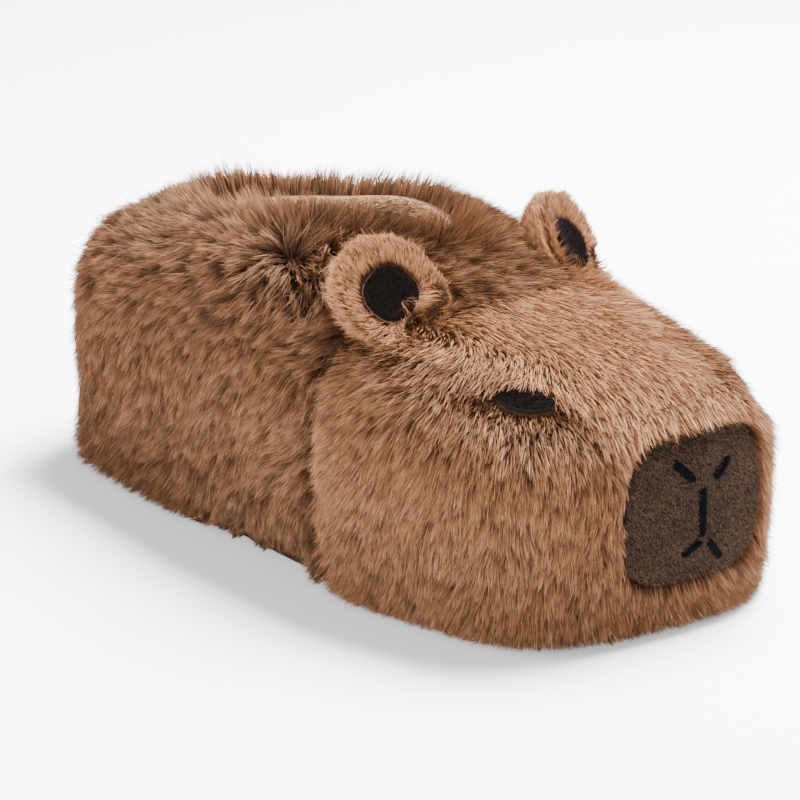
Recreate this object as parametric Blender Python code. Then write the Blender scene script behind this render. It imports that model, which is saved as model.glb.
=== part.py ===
"""Plush animal house slipper for the right foot.

Toe at +X, the wearer's left at +Y, up at +Z, in metres. The origin is the centre of the sole's
flat underside. The upper is one hollow padded solid: two soft lobes, the heel part and the animal's
head, joined at a crease, around a cavity with the form of a last. Its pile is made as locks fused on.
"""

import math
import random

import bmesh
import bpy
import numpy as np

# Foot room, the sizes of the last
FOOT_LENGTH = 0.244
HEEL_WIDTH = 0.077
BALL_WIDTH = 0.100
LAST_INSTEP = 0.088
TOE_SWING = 0.006

# Padding between the last and the backing of the fur
HEEL_PADDING = 0.0115
TOE_PADDING = 0.0136
SIDE_PADDING = 0.012
CHEEK_PADDING = 0.0166
LENGTH = HEEL_PADDING + FOOT_LENGTH + TOE_PADDING
BACK = -LENGTH / 2
NOSE = LENGTH / 2

# Heights above the floor and the shape of the lobes
HEEL_HEIGHT = 0.0965
INSTEP_HEIGHT = 0.1125
HEAD_HEIGHT = 0.1005
HEEL_ROUNDING = 0.040
CROWN_ROUNDING = 0.052
HEAD_BACK = 0.0985 * LENGTH
HEAD_BACK_ROUNDING = 0.026
MUZZLE_ROUNDING = 0.0370
MUZZLE_YAW = math.radians(11.1)
LOBE_BLEND = 0.045
HEEL_TUCK = 0.070
HEAD_TUCK = 0.028

# Collar
COLLAR_LENGTH = 0.107
COLLAR_WIDTH = 0.047
COLLAR_CENTRE = -0.117 * LENGTH
COLLAR_LIP = 0.006

# Sole, insole and the clearance that curved pieces keep
SOLE_THICKNESS = 0.009
SOLE_MARGIN = 0.0055
SOLE_WIDTH = 1.15 * BALL_WIDTH
SOLE_EDGE = 0.0015
TOE_SPRING = 0.003
INSOLE_THICKNESS = 0.005
INSOLE_EDGE = 0.0012
SKIRT_HEIGHT = 0.0035
CLEARANCE = 0.0004
NOSE_LIFT = 0.0005

# Locks of the pile
LOCK_HEIGHT = 0.0060
LOCK_LEAN = 1.60
LOCK_VARIATION = 0.22
LOCK_FLOOR = 0.0015
LOCK_MARGIN = 0.0008
HALF_LOCK_HEIGHT = 0.65
HALF_LOCK_LEAN = 0.25

# Nose patch on the flat front of the head, and what is stitched on it
NOSE_SIDEWAYS = 0.0075
NOSE_RISE = 0.0448
NOSE_WIDTH = 0.0555
NOSE_HEIGHT = 0.0495
NOSE_THICKNESS = 0.004
NOSE_POINTS = 32
STITCH_WIDTH = 0.0033
STITCH_THICKNESS = 0.0011

# Eyes
EYE_X = 0.403 * LENGTH
EYE_MIDDLE = 0.006
EYE_SPREAD = 0.40 * BALL_WIDTH
EYE_LENGTH = 0.0185
EYE_WIDTH = 0.0095
EYE_THICKNESS = 0.0030
EYE_TURN = math.radians(30)

# Ears
EAR_X = 0.195 * LENGTH
EAR_MIDDLE = 0.0010
EAR_SPREAD = 0.365 * BALL_WIDTH
EAR_WIDTH = 0.031
EAR_LENGTH = 0.029
EAR_DEPTH = 0.014
EAR_LIFT = 0.003
EAR_GAP = 0.0006
EAR_LEAN = math.radians(42)
EAR_SPLAY = math.radians(34)
EAR_CUP = 0.004
EAR_LOCK = 0.0022
EAR_SEGMENTS = 20
EAR_TILTS = (26, 44, 56, 64, 70, 76, 86, 100, 118, 140, 160)
INNER_EAR_WIDTH = 0.0185
INNER_EAR_LENGTH = 0.0185
INNER_EAR_START = 0.002
INNER_EAR_THICKNESS = 0.0014

COLUMNS = 76
RINGS = 18
CAVITY_RINGS = 6
TRIM_POINTS = 16
PATH_STEPS = 120
CAST_STEPS = 30

NOSE_CENTRE = (NOSE, NOSE_SIDEWAYS, NOSE_RISE)
SOLE_TOP = SOLE_THICKNESS
SEAT = SOLE_TOP + CLEARANCE

# Heel part. share: place along the whole length. ball: from the heel's breadth, 0, to the ball's, 1.
# instep: from the heel's height, 0, to the instep's, 1. belly: height of the fullest girth.
BODY_COLUMNS = ("share", "ball", "instep", "belly")
BODY_SECTIONS = (
    (-0.04, -0.30, -0.10, 0.58),
    (0.11, 0.00, 0.00, 0.58),
    (0.27, 0.33, 0.50, 0.55),
    (0.42, 0.66, 1.00, 0.52),
    (0.52, 0.78, 0.92, 0.52),
    (0.60, 0.74, 0.72, 0.52),
    (0.73, 0.60, 0.26, 0.50),
)

# Head. breadth: share of the head's breadth. crown: share of the head's height. belly: as above.
HEAD_COLUMNS = ("share", "breadth", "crown", "belly")
HEAD_SECTIONS = (
    (0.58, 1.000, 1.000, 0.46),
    (0.67, 0.990, 0.990, 0.46),
    (0.79, 0.925, 0.910, 0.47),
    (0.88, 0.850, 0.845, 0.48),
    (0.98, 0.772, 0.765, 0.49),
    (1.05, 0.680, 0.700, 0.49),
)

# Last. share: place along the foot. ball: as above. height: share of the last's instep height.
# swing: share of the toe's swing to the inner side.
LAST_COLUMNS = ("share", "ball", "height", "swing")
LAST_SECTIONS = (
    (0.00, -0.10, 0.90, 0.0),
    (0.12, 0.00, 0.94, 0.0),
    (0.30, 0.10, 1.00, -0.3),
    (0.45, 0.45, 1.00, -0.4),
    (0.60, 0.88, 0.90, -0.1),
    (0.74, 1.00, 0.74, 0.4),
    (0.88, 0.80, 0.60, 1.0),
    (1.00, 0.40, 0.52, 1.5),
)

# Sole. share: place along the sole. outer and inner: half breadths on the little toe's side and on
# the big toe's side, as shares of the sole's full breadth.
SOLE_COLUMNS = ("share", "outer", "inner")
SOLE_SECTIONS = (
    (0.00, 0.38, 0.38),
    (0.12, 0.40, 0.395),
    (0.30, 0.43, 0.395),
    (0.45, 0.470, 0.42),
    (0.60, 0.482, 0.465),
    (0.74, 0.482, 0.487),
    (0.88, 0.420, 0.455),
    (1.00, 0.345, 0.400),
)


def read_column(columns, sections, name, share):
    """Smooth curve through one named column of a table."""
    rows = np.array(sections)
    stations = rows[:, 0]
    values = rows[:, columns.index(name)]
    slopes = np.gradient(values, stations)
    row = np.clip(np.searchsorted(stations, share) - 1, 0, len(stations) - 2)
    span = stations[row + 1] - stations[row]
    t = np.clip((share - stations[row]) / span, 0.0, 1.0)
    rise = t * t * (3 - 2 * t)
    start = (t ** 3 - 2 * t ** 2 + t) * span * slopes[row]
    end = (t ** 3 - t ** 2) * span * slopes[row + 1]
    return values[row] + (values[row + 1] - values[row]) * rise + start + end


def smoothstep(low, high, value):
    t = np.clip((value - low) / (high - low), 0.0, 1.0)
    return t * t * (3 - 2 * t)


def unit(vectors):
    return vectors / np.linalg.norm(vectors, axis=-1, keepdims=True)


def lobe(x, y, z, half, crown, belly, foot, back, front, power, roof_power):
    """Superellipse lobe with rounded ends: below 1 inside and above 1 outside.

    foot is how far below the floor the lobe would close: the larger, the straighter its lower wall.
    """
    back_end, back_rounding = back
    front_end, front_rounding = front
    rise = np.where(z > belly, crown - belly, belly + foot)
    girth = (np.abs(y) / half) ** power + (np.abs(z - belly) / rise) ** roof_power
    rear = np.maximum(back_end + back_rounding - x, 0.0) / back_rounding
    fore = np.maximum(x - front_end + front_rounding, 0.0) / front_rounding
    return (girth ** (3.0 / power) + rear ** 3 + fore ** 3) ** (1.0 / 3.0)


def upper_form(points):
    """Backing of the fur: negative inside the padded upper's outer face, positive outside."""
    x, y, z = points[..., 0], points[..., 1], points[..., 2]
    share = (x - BACK) / LENGTH
    heel_half = HEEL_WIDTH / 2 + SIDE_PADDING
    ball_half = BALL_WIDTH / 2 + SIDE_PADDING
    half = heel_half + (ball_half - heel_half) * read_column(BODY_COLUMNS, BODY_SECTIONS, "ball", share)
    crown_share = read_column(BODY_COLUMNS, BODY_SECTIONS, "instep", share)
    crown = HEEL_HEIGHT + (INSTEP_HEIGHT - HEEL_HEIGHT) * crown_share
    belly = HEEL_HEIGHT * read_column(BODY_COLUMNS, BODY_SECTIONS, "belly", share)
    rear_end = (BACK, HEEL_ROUNDING)
    hidden_end = (HEAD_BACK + 2 * HEAD_BACK_ROUNDING, CROWN_ROUNDING)
    body = lobe(x, y, z, half, crown, belly, HEEL_TUCK, rear_end, hidden_end, 3.0, 2.8)

    turn = smoothstep(HEAD_BACK, NOSE, x)
    turned_x = x - math.tan(MUZZLE_YAW) * y * turn
    share = (turned_x - BACK) / LENGTH
    head_half = BALL_WIDTH / 2 + CHEEK_PADDING
    half = head_half * read_column(HEAD_COLUMNS, HEAD_SECTIONS, "breadth", share)
    crown = HEAD_HEIGHT * read_column(HEAD_COLUMNS, HEAD_SECTIONS, "crown", share)
    belly = HEAD_HEIGHT * read_column(HEAD_COLUMNS, HEAD_SECTIONS, "belly", share)
    neck_end = (HEAD_BACK, HEAD_BACK_ROUNDING)
    nose_end = (NOSE, MUZZLE_ROUNDING)
    head = lobe(turned_x, y, z, half, crown, belly, HEAD_TUCK, neck_end, nose_end, 2.8, 2.6)

    mix = np.clip(0.5 + 0.5 * (head - body) / LOBE_BLEND, 0.0, 1.0)
    return head * (1 - mix) + body * mix - LOBE_BLEND * mix * (1 - mix) - 1.0


def last_form(points):
    """Foot room: negative inside the last, positive outside."""
    x, y, z = points[..., 0], points[..., 1], points[..., 2]
    heel_end = BACK + HEEL_PADDING
    toe_end = heel_end + FOOT_LENGTH
    share = (x - heel_end) / FOOT_LENGTH
    ball = read_column(LAST_COLUMNS, LAST_SECTIONS, "ball", share)
    half = HEEL_WIDTH / 2 + (BALL_WIDTH - HEEL_WIDTH) / 2 * ball
    crown = SEAT + LAST_INSTEP * read_column(LAST_COLUMNS, LAST_SECTIONS, "height", share)
    belly = SEAT + 0.3 * (crown - SEAT)
    middle = TOE_SWING * read_column(LAST_COLUMNS, LAST_SECTIONS, "swing", share)
    rear_end = (heel_end, 0.9 * HEEL_WIDTH / 2)
    fore_end = (toe_end, 0.9 * BALL_WIDTH / 2)
    return lobe(x, y - middle, z, half, crown, belly, crown, rear_end, fore_end, 2.5, 2.4) - 1.0


def sole_form(points):
    """Outline of the sole in plan: negative inside, positive outside."""
    x, y = points[..., 0], points[..., 1]
    heel_end = BACK + SOLE_MARGIN
    toe_end = NOSE - SOLE_MARGIN
    share = (x - heel_end) / (toe_end - heel_end)
    outer = SOLE_WIDTH * read_column(SOLE_COLUMNS, SOLE_SECTIONS, "outer", share)
    inner = SOLE_WIDTH * read_column(SOLE_COLUMNS, SOLE_SECTIONS, "inner", share)
    half = np.where(y < 0, outer, inner)
    yawed_x = x - math.tan(MUZZLE_YAW) * y * smoothstep(HEAD_BACK, NOSE, x)
    rear = np.maximum(heel_end + 0.40 * SOLE_WIDTH - x, 0.0) / (0.40 * SOLE_WIDTH)
    fore = np.maximum(yawed_x - toe_end + 0.44 * SOLE_WIDTH, 0.0) / (0.44 * SOLE_WIDTH)
    return ((np.abs(y) / half) ** 2.6 + rear ** 2.6 + fore ** 2.6) ** (1 / 2.6) - 1.0


def cast(form, start, directions, reach=LENGTH):
    """Point where each ray from start leaves the form."""
    near = np.zeros(directions.shape[:-1])
    far = np.full(directions.shape[:-1], reach)
    for _ in range(CAST_STEPS):
        middle = (near + far) / 2
        inside = form(start + directions * middle[..., None]) < 0
        near = np.where(inside, middle, near)
        far = np.where(inside, far, middle)
    return start + directions * near[..., None]


def normals(form, points, step=0.0004):
    gradient = np.zeros(points.shape)
    for axis in range(points.shape[-1]):
        shift = np.zeros(points.shape[-1])
        shift[axis] = step
        gradient[..., axis] = form(points + shift) - form(points - shift)
    return unit(gradient)


def angles(count):
    return np.arange(count) * 2 * math.pi / count


def outline(form, count, height, offset=0.0):
    """Closed outline of a form at one height, a point for each column, moved out by offset."""
    turn = angles(count)
    reach = np.stack([0.52 * LENGTH * np.cos(turn), 0.5 * BALL_WIDTH * np.sin(turn)], axis=-1)
    heading = np.column_stack([unit(reach), np.zeros(count)])
    start = np.array([0.0, 0.0, height])
    points = cast(form, start, heading)
    across = normals(form, points)
    across[:, 2] = 0.0
    return points + unit(across) * offset


def collar_ring(count, growth):
    turn = angles(count)
    x = COLLAR_CENTRE + (COLLAR_LENGTH / 2 + growth) * np.cos(turn)
    y = (COLLAR_WIDTH / 2 + growth) * np.sin(turn)
    return x, y


def roof(form, x, y):
    """Height of the form above each plan point."""
    start = np.stack([x, y, np.full(x.shape, 0.3 * HEEL_HEIGHT)], axis=-1)
    return cast(form, start, np.broadcast_to([0.0, 0.0, 1.0], start.shape))


def wall_paths(form, centre, top, bottom, rings):
    """Rings of points at equal steps of girth between a top ring and a bottom ring."""
    up = unit(top - centre)
    down = unit(bottom - centre)
    angle = np.arccos(np.clip((up * down).sum(axis=1), -1.0, 1.0))
    step = np.linspace(0.0, 1.0, PATH_STEPS)[:, None]
    weight_up = np.sin((1 - step) * angle) / np.sin(angle)
    weight_down = np.sin(step * angle) / np.sin(angle)
    heading = unit(weight_up[..., None] * up + weight_down[..., None] * down)
    fine = cast(form, centre, heading)
    fine[0] = top
    fine[-1] = bottom
    run = np.zeros(fine.shape[:2])
    run[1:] = np.cumsum(np.linalg.norm(np.diff(fine, axis=0), axis=2), axis=0)
    wanted = np.linspace(0.0, 1.0, rings + 1)
    result = np.zeros((rings + 1, fine.shape[1], 3))
    for column in range(fine.shape[1]):
        share = run[:, column] / run[-1, column]
        for axis in range(3):
            result[:, column, axis] = np.interp(wanted, share, fine[:, column, axis])
    return result


def add_ring(mesh, points):
    return [mesh.verts.new(tuple(point)) for point in points]


def bridge(mesh, ring_a, ring_b):
    """Quads between two rings, facing out when ring_b lies outside or below ring_a."""
    count = len(ring_a)
    for i in range(count):
        k = (i + 1) % count
        mesh.faces.new((ring_a[i], ring_b[i], ring_b[k], ring_a[k]))


def make_material(name, colour, roughness):
    material = bpy.data.materials.new(name)
    material.use_nodes = True
    shader = material.node_tree.nodes["Principled BSDF"]
    shader.inputs["Base Color"].default_value = (*colour, 1.0)
    shader.inputs["Roughness"].default_value = roughness
    shader.inputs["Metallic"].default_value = 0.0
    return material


def make_object(name, mesh, material, collection, smooth=True):
    data = bpy.data.meshes.new(name)
    bmesh.ops.triangulate(mesh, faces=mesh.faces[:])
    bmesh.ops.recalc_face_normals(mesh, faces=mesh.faces[:])
    mesh.to_mesh(data)
    mesh.free()
    data.materials.append(material)
    if smooth:
        data.shade_smooth()
    item = bpy.data.objects.new(name, data)
    collection.objects.link(item)
    return item


def toe_spring(x):
    """Lift of the sole's toe above the floor."""
    return TOE_SPRING * smoothstep(0.62 * NOSE, 1.1 * NOSE, x)


def lifted(points, height):
    result = points.copy()
    result[:, 2] = height + toe_spring(points[:, 0])
    return result


def make_slab(name, edge, bottom, top, rounding, material, collection):
    """Flat piece with a rounded edge from an outline."""
    mesh = bmesh.new()
    centre = edge.mean(axis=0)
    inward = unit((centre - edge)[:, :2])
    inset = edge.copy()
    inset[:, :2] += inward * rounding
    low_rings = []
    for share in (0.66, 1.0):
        low_rings.append(add_ring(mesh, lifted(centre + (inset - centre) * share, bottom)))
    high_rings = []
    for share in (1.0, 0.66):
        high_rings.append(add_ring(mesh, lifted(centre + (inset - centre) * share, top)))
    side_low = add_ring(mesh, lifted(edge, bottom + rounding))
    side_high = add_ring(mesh, lifted(edge, top - rounding))
    rings = low_rings + [side_low, side_high] + high_rings
    for ring_a, ring_b in zip(rings, rings[1:]):
        bridge(mesh, ring_a, ring_b)
    mesh.faces.new(low_rings[0])
    mesh.faces.new(reversed(high_rings[-1]))
    return make_object(name, mesh, material, collection, smooth=False)


def gap_to(form, points, step=0.0004):
    """Distance from the form to points near it, negative inside."""
    slope = np.zeros(points.shape[:-1])
    for axis in range(3):
        shift = np.zeros(3)
        shift[axis] = step
        slope += ((form(points + shift) - form(points - shift)) / (2 * step)) ** 2
    return form(points) / np.sqrt(slope)


def ear_frame(side):
    """Foot of an ear on the head and its axes: across, up the ear, and out of its hollow."""
    foot = roof(upper_form, np.array([EAR_X]), np.array([EAR_MIDDLE + side * EAR_SPREAD]))
    foot = foot[0] + normals(upper_form, foot)[0] * EAR_LIFT
    lean, splay = EAR_LEAN, EAR_SPLAY
    up = np.array([-math.sin(lean), side * math.sin(splay) * math.cos(lean), math.cos(splay) * math.cos(lean)])
    face = np.array([math.cos(lean), side * math.sin(splay) * math.sin(lean), math.cos(splay) * math.sin(lean)])
    return foot, np.cross(up, face), up, face


def ear_body(points, frame):
    """Rounded body of an ear, negative inside."""
    foot, across, up, face = frame
    offset = points - foot
    width = np.abs(offset @ across) / (EAR_WIDTH / 2)
    middle = 0.36 * EAR_LENGTH
    rise = np.abs(offset @ up - middle) / (EAR_LENGTH - middle)
    depth = np.abs(offset @ face) / EAR_DEPTH
    return (width ** 2.3 + rise ** 2.3 + depth ** 2.3) ** (1 / 2.3) - 1.0


def ear_hollow(points, frame):
    """Dished front of an ear, negative behind it."""
    foot, across, up, face = frame
    offset = points - foot
    width = offset @ across / (EAR_WIDTH / 2)
    rise = (offset @ up - 0.36 * EAR_LENGTH) / (0.64 * EAR_LENGTH)
    dish = EAR_CUP * (np.minimum(width ** 2 + rise ** 2, 1.0) - 0.8)
    return offset @ face - dish


def ear_form(points, frame):
    """Ear cut by its dished front and by the head below it."""
    body = ear_body(points, frame)
    front = ear_hollow(points, frame) / EAR_DEPTH
    seat = (EAR_GAP - gap_to(upper_form, points)) / EAR_DEPTH
    return np.maximum(np.maximum(body, front), seat)


def bare_spots():
    """Where the pile stays down: places of the eyes and frames of the ears."""
    eyes = [eye_place(side) for side in (-1, 1)]
    ears = [ear_frame(side) for side in (-1, 1)]
    return eyes, ears


def is_bare(points, spots):
    """True at the nose patch, the eyes and the ears."""
    eyes, ears = spots
    offset = points - np.array(NOSE_CENTRE)
    across, out = muzzle_axes()
    wide = np.abs(offset @ across) < NOSE_WIDTH / 2 + LOCK_MARGIN
    high = np.abs(offset[:, 2]) < NOSE_HEIGHT / 2 + LOCK_MARGIN
    result = wide & high & (offset @ out > -MUZZLE_ROUNDING)
    for place in eyes:
        result |= np.linalg.norm(points - place, axis=1) < EYE_LENGTH / 2 + LOCK_MARGIN
    for frame in ears:
        result |= ear_body(points, frame) < 2 * LOCK_MARGIN / EAR_DEPTH
    return result


def add_lock(mesh, corners, tip):
    """Pointed lock over one patch of the backing."""
    peak = mesh.verts.new(tuple(tip))
    for a, b in zip(corners, corners[1:] + corners[:1]):
        mesh.faces.new((a, b, peak))


def add_locks(mesh, rings, verts, rng):
    """Pile of overlapping locks, one on each diamond between three rings of the backing.

    Beside a bare spot only the free half of a diamond has a lock.
    """
    spots = bare_spots()
    here = np.arange(COLUMNS)
    for ring in range(RINGS - 1):
        left = (here + ring % 2 - 1) % COLUMNS
        right = (here + ring % 2) % COLUMNS
        tops, lefts, rights, bottoms = rings[ring], rings[ring + 1][left], rings[ring + 1][right], rings[ring + 2]
        middle = (lefts + rights) / 2
        out = normals(upper_form, middle)
        draws = np.array([(rng.uniform(-1, 1), rng.uniform(-1, 1)) for _ in here]) * LOCK_VARIATION
        size = 1 + draws[:, :1]
        rise = (rights - lefts) * draws[:, 1:] + out * LOCK_HEIGHT * size
        lay = (bottoms - tops) / 2 * LOCK_LEAN * size
        full = middle + rise + lay
        upright = middle + rise + HALF_LOCK_LEAN * lay
        upper_half = (tops + lefts + rights) / 3 + HALF_LOCK_HEIGHT * rise
        lower_half = (bottoms + lefts + rights) / 3 + HALF_LOCK_HEIGHT * rise + HALF_LOCK_LEAN * lay
        for tips in (full, upright, upper_half, lower_half):
            tips[:, 2] = np.maximum(tips[:, 2], LOCK_FLOOR)
        level_bare = is_bare(lefts, spots) | is_bare(rights, spots) | is_bare(middle, spots)
        upper_bare = level_bare | is_bare(tops, spots)
        lower_bare = level_bare | is_bare(bottoms, spots)
        no_lock = upper_bare | lower_bare | is_bare(upright, spots)
        no_upper_half = upper_bare | is_bare(upper_half, spots)
        no_lower_half = lower_bare | is_bare(lower_half, spots)
        full_bare = is_bare(full, spots)
        for i in here:
            top, bottom = verts[ring][i], verts[ring + 2][i]
            side_a, side_b = verts[ring + 1][left[i]], verts[ring + 1][right[i]]
            if not no_lock[i]:
                add_lock(mesh, (top, side_a, bottom, side_b), upright[i] if full_bare[i] else full[i])
                continue
            for corners, covered, tip in (
                ((top, side_a, side_b), no_upper_half[i], upper_half[i]),
                ((side_a, bottom, side_b), no_lower_half[i], lower_half[i]),
            ):
                if covered:
                    mesh.faces.new(corners)
                else:
                    add_lock(mesh, corners, tip)


def make_upper(material, collection):
    """Hollow upper: locks outside, rolled lip at the collar, skirt around the sole, last inside."""
    rng = random.Random(7)
    mesh = bmesh.new()
    centre = np.array([-0.055 * LENGTH, 0.0, 0.5 * HEEL_HEIGHT])

    x, y = collar_ring(2 * COLUMNS, COLLAR_LIP)
    top = roof(upper_form, x, y)
    bottom = outline(upper_form, 2 * COLUMNS, SKIRT_HEIGHT)
    paths = wall_paths(upper_form, centre, top, bottom, RINGS)

    rings = []
    for ring in range(RINGS + 1):
        rings.append(paths[ring, ring % 2::2])
    verts = [add_ring(mesh, ring) for ring in rings]
    add_locks(mesh, rings, verts, rng)
    for i in range(COLUMNS):
        k = (i + 1) % COLUMNS
        mesh.faces.new((verts[0][i], verts[1][i], verts[0][k]))
        mesh.faces.new((verts[RINGS][i], verts[RINGS][k], verts[RINGS - 1][i]))

    lip = []
    for growth, drop in ((0.3 * COLLAR_LIP, 0.3 * COLLAR_LIP), (0.0, COLLAR_LIP)):
        x, y = collar_ring(COLUMNS, growth)
        points = roof(upper_form, x, y)
        points[:, 2] -= drop
        lip.append(add_ring(mesh, points))
    bridge(mesh, lip[0], verts[0])
    bridge(mesh, lip[1], lip[0])

    x, y = collar_ring(COLUMNS, 0.5 * COLLAR_LIP)
    throat = roof(last_form, x, y)
    seat = outline(last_form, COLUMNS, SEAT)
    inner = wall_paths(last_form, centre, throat, seat, CAVITY_RINGS)
    inner[-1] = lifted(inner[-1], SEAT)
    inner_verts = [add_ring(mesh, ring) for ring in inner]
    bridge(mesh, inner_verts[0], lip[1])
    for ring_a, ring_b in zip(inner_verts, inner_verts[1:]):
        bridge(mesh, ring_b, ring_a)

    wall = outline(sole_form, COLUMNS, 0.0, CLEARANCE)
    ledge = add_ring(mesh, lifted(wall, SEAT))
    skirt = add_ring(mesh, lifted(wall, SKIRT_HEIGHT))
    bridge(mesh, ledge, inner_verts[-1])
    bridge(mesh, skirt, ledge)
    bridge(mesh, verts[RINGS], skirt)
    return make_object("upper", mesh, material, collection, smooth=False)


def make_outsole(material, collection):
    edge = outline(sole_form, COLUMNS, 0.0)
    return make_slab("outsole", edge, 0.0, SOLE_TOP, SOLE_EDGE, material, collection)


def make_insole(material, collection):
    edge = outline(last_form, COLUMNS, SEAT, -1.3 * CLEARANCE)
    top = SEAT + INSOLE_THICKNESS
    return make_slab("insole", edge, SEAT, top, INSOLE_EDGE, material, collection)


def patch_rings(form, rim, centre, heading, shares, lifts):
    """Rings on a form from its middle to a rim, each lifted off the form's surface."""
    rings = []
    for share, lift in zip(shares, lifts):
        start = centre + (rim - centre) * share
        points = cast(form, start, np.broadcast_to(heading, start.shape))
        rings.append(points + normals(form, points) * lift)
    return rings


def make_patch(name, form, rim, centre, heading, lift, thickness, material, collection, steps=2):
    """Piece cut between two offsets of the form that it lies on, with a rounded edge."""
    mesh = bmesh.new()
    inner_shares = tuple(0.96 * ring / steps for ring in range(steps + 1))
    under = patch_rings(form, rim, centre, heading, inner_shares, (lift,) * (steps + 1))
    full = lift + thickness
    lifts = (lift + 0.45 * thickness, lift + 0.9 * thickness) + (full,) * steps
    over = patch_rings(form, rim, centre, heading, (1.0,) + inner_shares[::-1], lifts)
    low = mesh.verts.new(tuple(under[0][0]))
    high = mesh.verts.new(tuple(over[-1][0]))
    rings = [add_ring(mesh, ring) for ring in under[1:] + over[:-1]]
    for ring_a, ring_b in zip(rings, rings[1:]):
        bridge(mesh, ring_a, ring_b)
    count = len(rings[0])
    for i in range(count):
        k = (i + 1) % count
        mesh.faces.new((low, rings[0][i], rings[0][k]))
        mesh.faces.new((high, rings[-1][k], rings[-1][i]))
    return make_object(name, mesh, material, collection)


def muzzle_axes():
    """Across the flat front of the head and out of it."""
    across = np.array([math.sin(MUZZLE_YAW), math.cos(MUZZLE_YAW), 0.0])
    out = np.array([math.cos(MUZZLE_YAW), -math.sin(MUZZLE_YAW), 0.0])
    return across, out


def nose_point(across_share, up_share):
    """Point behind the nose patch: shares of its half width and half height."""
    across, out = muzzle_axes()
    middle = np.array(NOSE_CENTRE) - out * MUZZLE_ROUNDING
    return middle + across * across_share * NOSE_WIDTH / 2 + np.array([0.0, 0.0, up_share * NOSE_HEIGHT / 2])


def make_nose(material, collection):
    rim = []
    for turn in angles(NOSE_POINTS):
        across_share = math.copysign(abs(math.cos(turn)) ** 0.55, math.cos(turn))
        up_share = math.copysign(abs(math.sin(turn)) ** 0.60, math.sin(turn))
        narrowing = 1.0 - 0.10 * max(up_share, 0.0)
        rim.append(nose_point(across_share * narrowing, up_share))
    out = muzzle_axes()[1]
    make_patch("nose", upper_form, np.array(rim), nose_point(0.0, 0.0), out,
               NOSE_LIFT, NOSE_THICKNESS, material, collection, steps=4)


# Stitched marks on the nose patch: start and end, as shares of its half width and half height
STITCHES = {
    "nostril_left": ((0.43, 0.50), (0.285, 0.345)),
    "nostril_right": ((-0.30, 0.59), (-0.075, 0.395)),
    "philtrum": ((0.085, 0.20), (0.10, -0.395)),
    "mouth_left": ((0.215, -0.57), (0.36, -0.78)),
    "mouth_right": ((0.05, -0.54), (-0.145, -0.65)),
}


def make_stitch(name, material, collection):
    """Satin-stitched bar with round ends."""
    start, end = (nose_point(*share) for share in STITCHES[name])
    out = muzzle_axes()[1]
    along = unit(end - start)
    across = np.cross(along, out)
    caps = np.linspace(-math.pi / 2, math.pi / 2, 4)
    sides = (0.25, 0.5, 0.75)
    half = STITCH_WIDTH / 2
    rim = [end + (along * math.cos(turn) + across * math.sin(turn)) * half for turn in caps]
    rim += [end + (start - end) * share + across * half for share in sides]
    rim += [start - (along * math.cos(turn) + across * math.sin(turn)) * half for turn in caps]
    rim += [start + (end - start) * share - across * half for share in sides]
    lift = NOSE_LIFT + NOSE_THICKNESS + CLEARANCE
    make_patch(name, upper_form, np.array(rim), (start + end) / 2, out, lift, STITCH_THICKNESS,
               material, collection)


def eye_place(side):
    """Middle of an eye on the head's form."""
    y = EYE_MIDDLE + side * EYE_SPREAD
    x = EYE_X + math.tan(MUZZLE_YAW) * y
    return roof(upper_form, np.array([x]), np.array([y]))[0]


def make_eye(name, side, material, collection):
    """Sleepy spindle-shaped eye along the seam between forehead and cheek."""
    place = eye_place(side)
    out = normals(upper_form, place[None, :])[0]
    seam = np.array([math.cos(EYE_TURN), -side * math.sin(EYE_TURN), 0.0])
    along = unit(seam - out * (seam @ out))
    across = np.cross(out, along)
    rim = []
    for turn in angles(TRIM_POINTS):
        reach = math.copysign(abs(math.cos(turn)) ** 1.1, math.cos(turn)) * EYE_LENGTH / 2
        swell = math.copysign(abs(math.sin(turn)) ** 1.25, math.sin(turn)) * EYE_WIDTH / 2
        rim.append(place + along * reach + across * swell - out * EYE_LENGTH)
    centre = place - out * EYE_LENGTH
    make_patch(name, upper_form, np.array(rim), centre, out, CLEARANCE, EYE_THICKNESS, material, collection)


def make_ear(name, side, material, collection):
    """Ear with short locks on its furry back, seated on the head."""
    frame = ear_frame(side)
    foot, across, up, face = frame
    centre = foot + up * 0.5 * EAR_LENGTH - face * 0.56 * EAR_DEPTH
    segments = EAR_SEGMENTS
    headings = []
    for degrees in EAR_TILTS:
        tilt = math.radians(degrees)
        for turn in angles(segments):
            level = across * math.cos(turn) + up * math.sin(turn)
            headings.append(face * math.cos(tilt) + level * math.sin(tilt))
    headings = np.array([face, *headings, -face])

    def form(points):
        return ear_form(points, frame)

    points = cast(form, centre, headings, reach=2 * EAR_LENGTH)
    furry = (ear_hollow(points, frame) < -EAR_LOCK) & (gap_to(upper_form, points) > 2 * EAR_LOCK)
    order = np.arange(len(points)) - 1
    raised = furry & ((order // segments + order % segments) % 2 == 0)
    points[raised] += headings[raised] * EAR_LOCK
    mesh = bmesh.new()
    front = mesh.verts.new(tuple(points[0]))
    back = mesh.verts.new(tuple(points[-1]))
    rings = []
    for row in range(len(EAR_TILTS)):
        rings.append(add_ring(mesh, points[1 + row * segments:1 + (row + 1) * segments]))
    for ring_a, ring_b in zip(rings, rings[1:]):
        bridge(mesh, ring_a, ring_b)
    for i in range(segments):
        k = (i + 1) % segments
        mesh.faces.new((front, rings[0][i], rings[0][k]))
        mesh.faces.new((back, rings[-1][k], rings[-1][i]))
    return make_object(name, mesh, material, collection, smooth=False)


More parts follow.
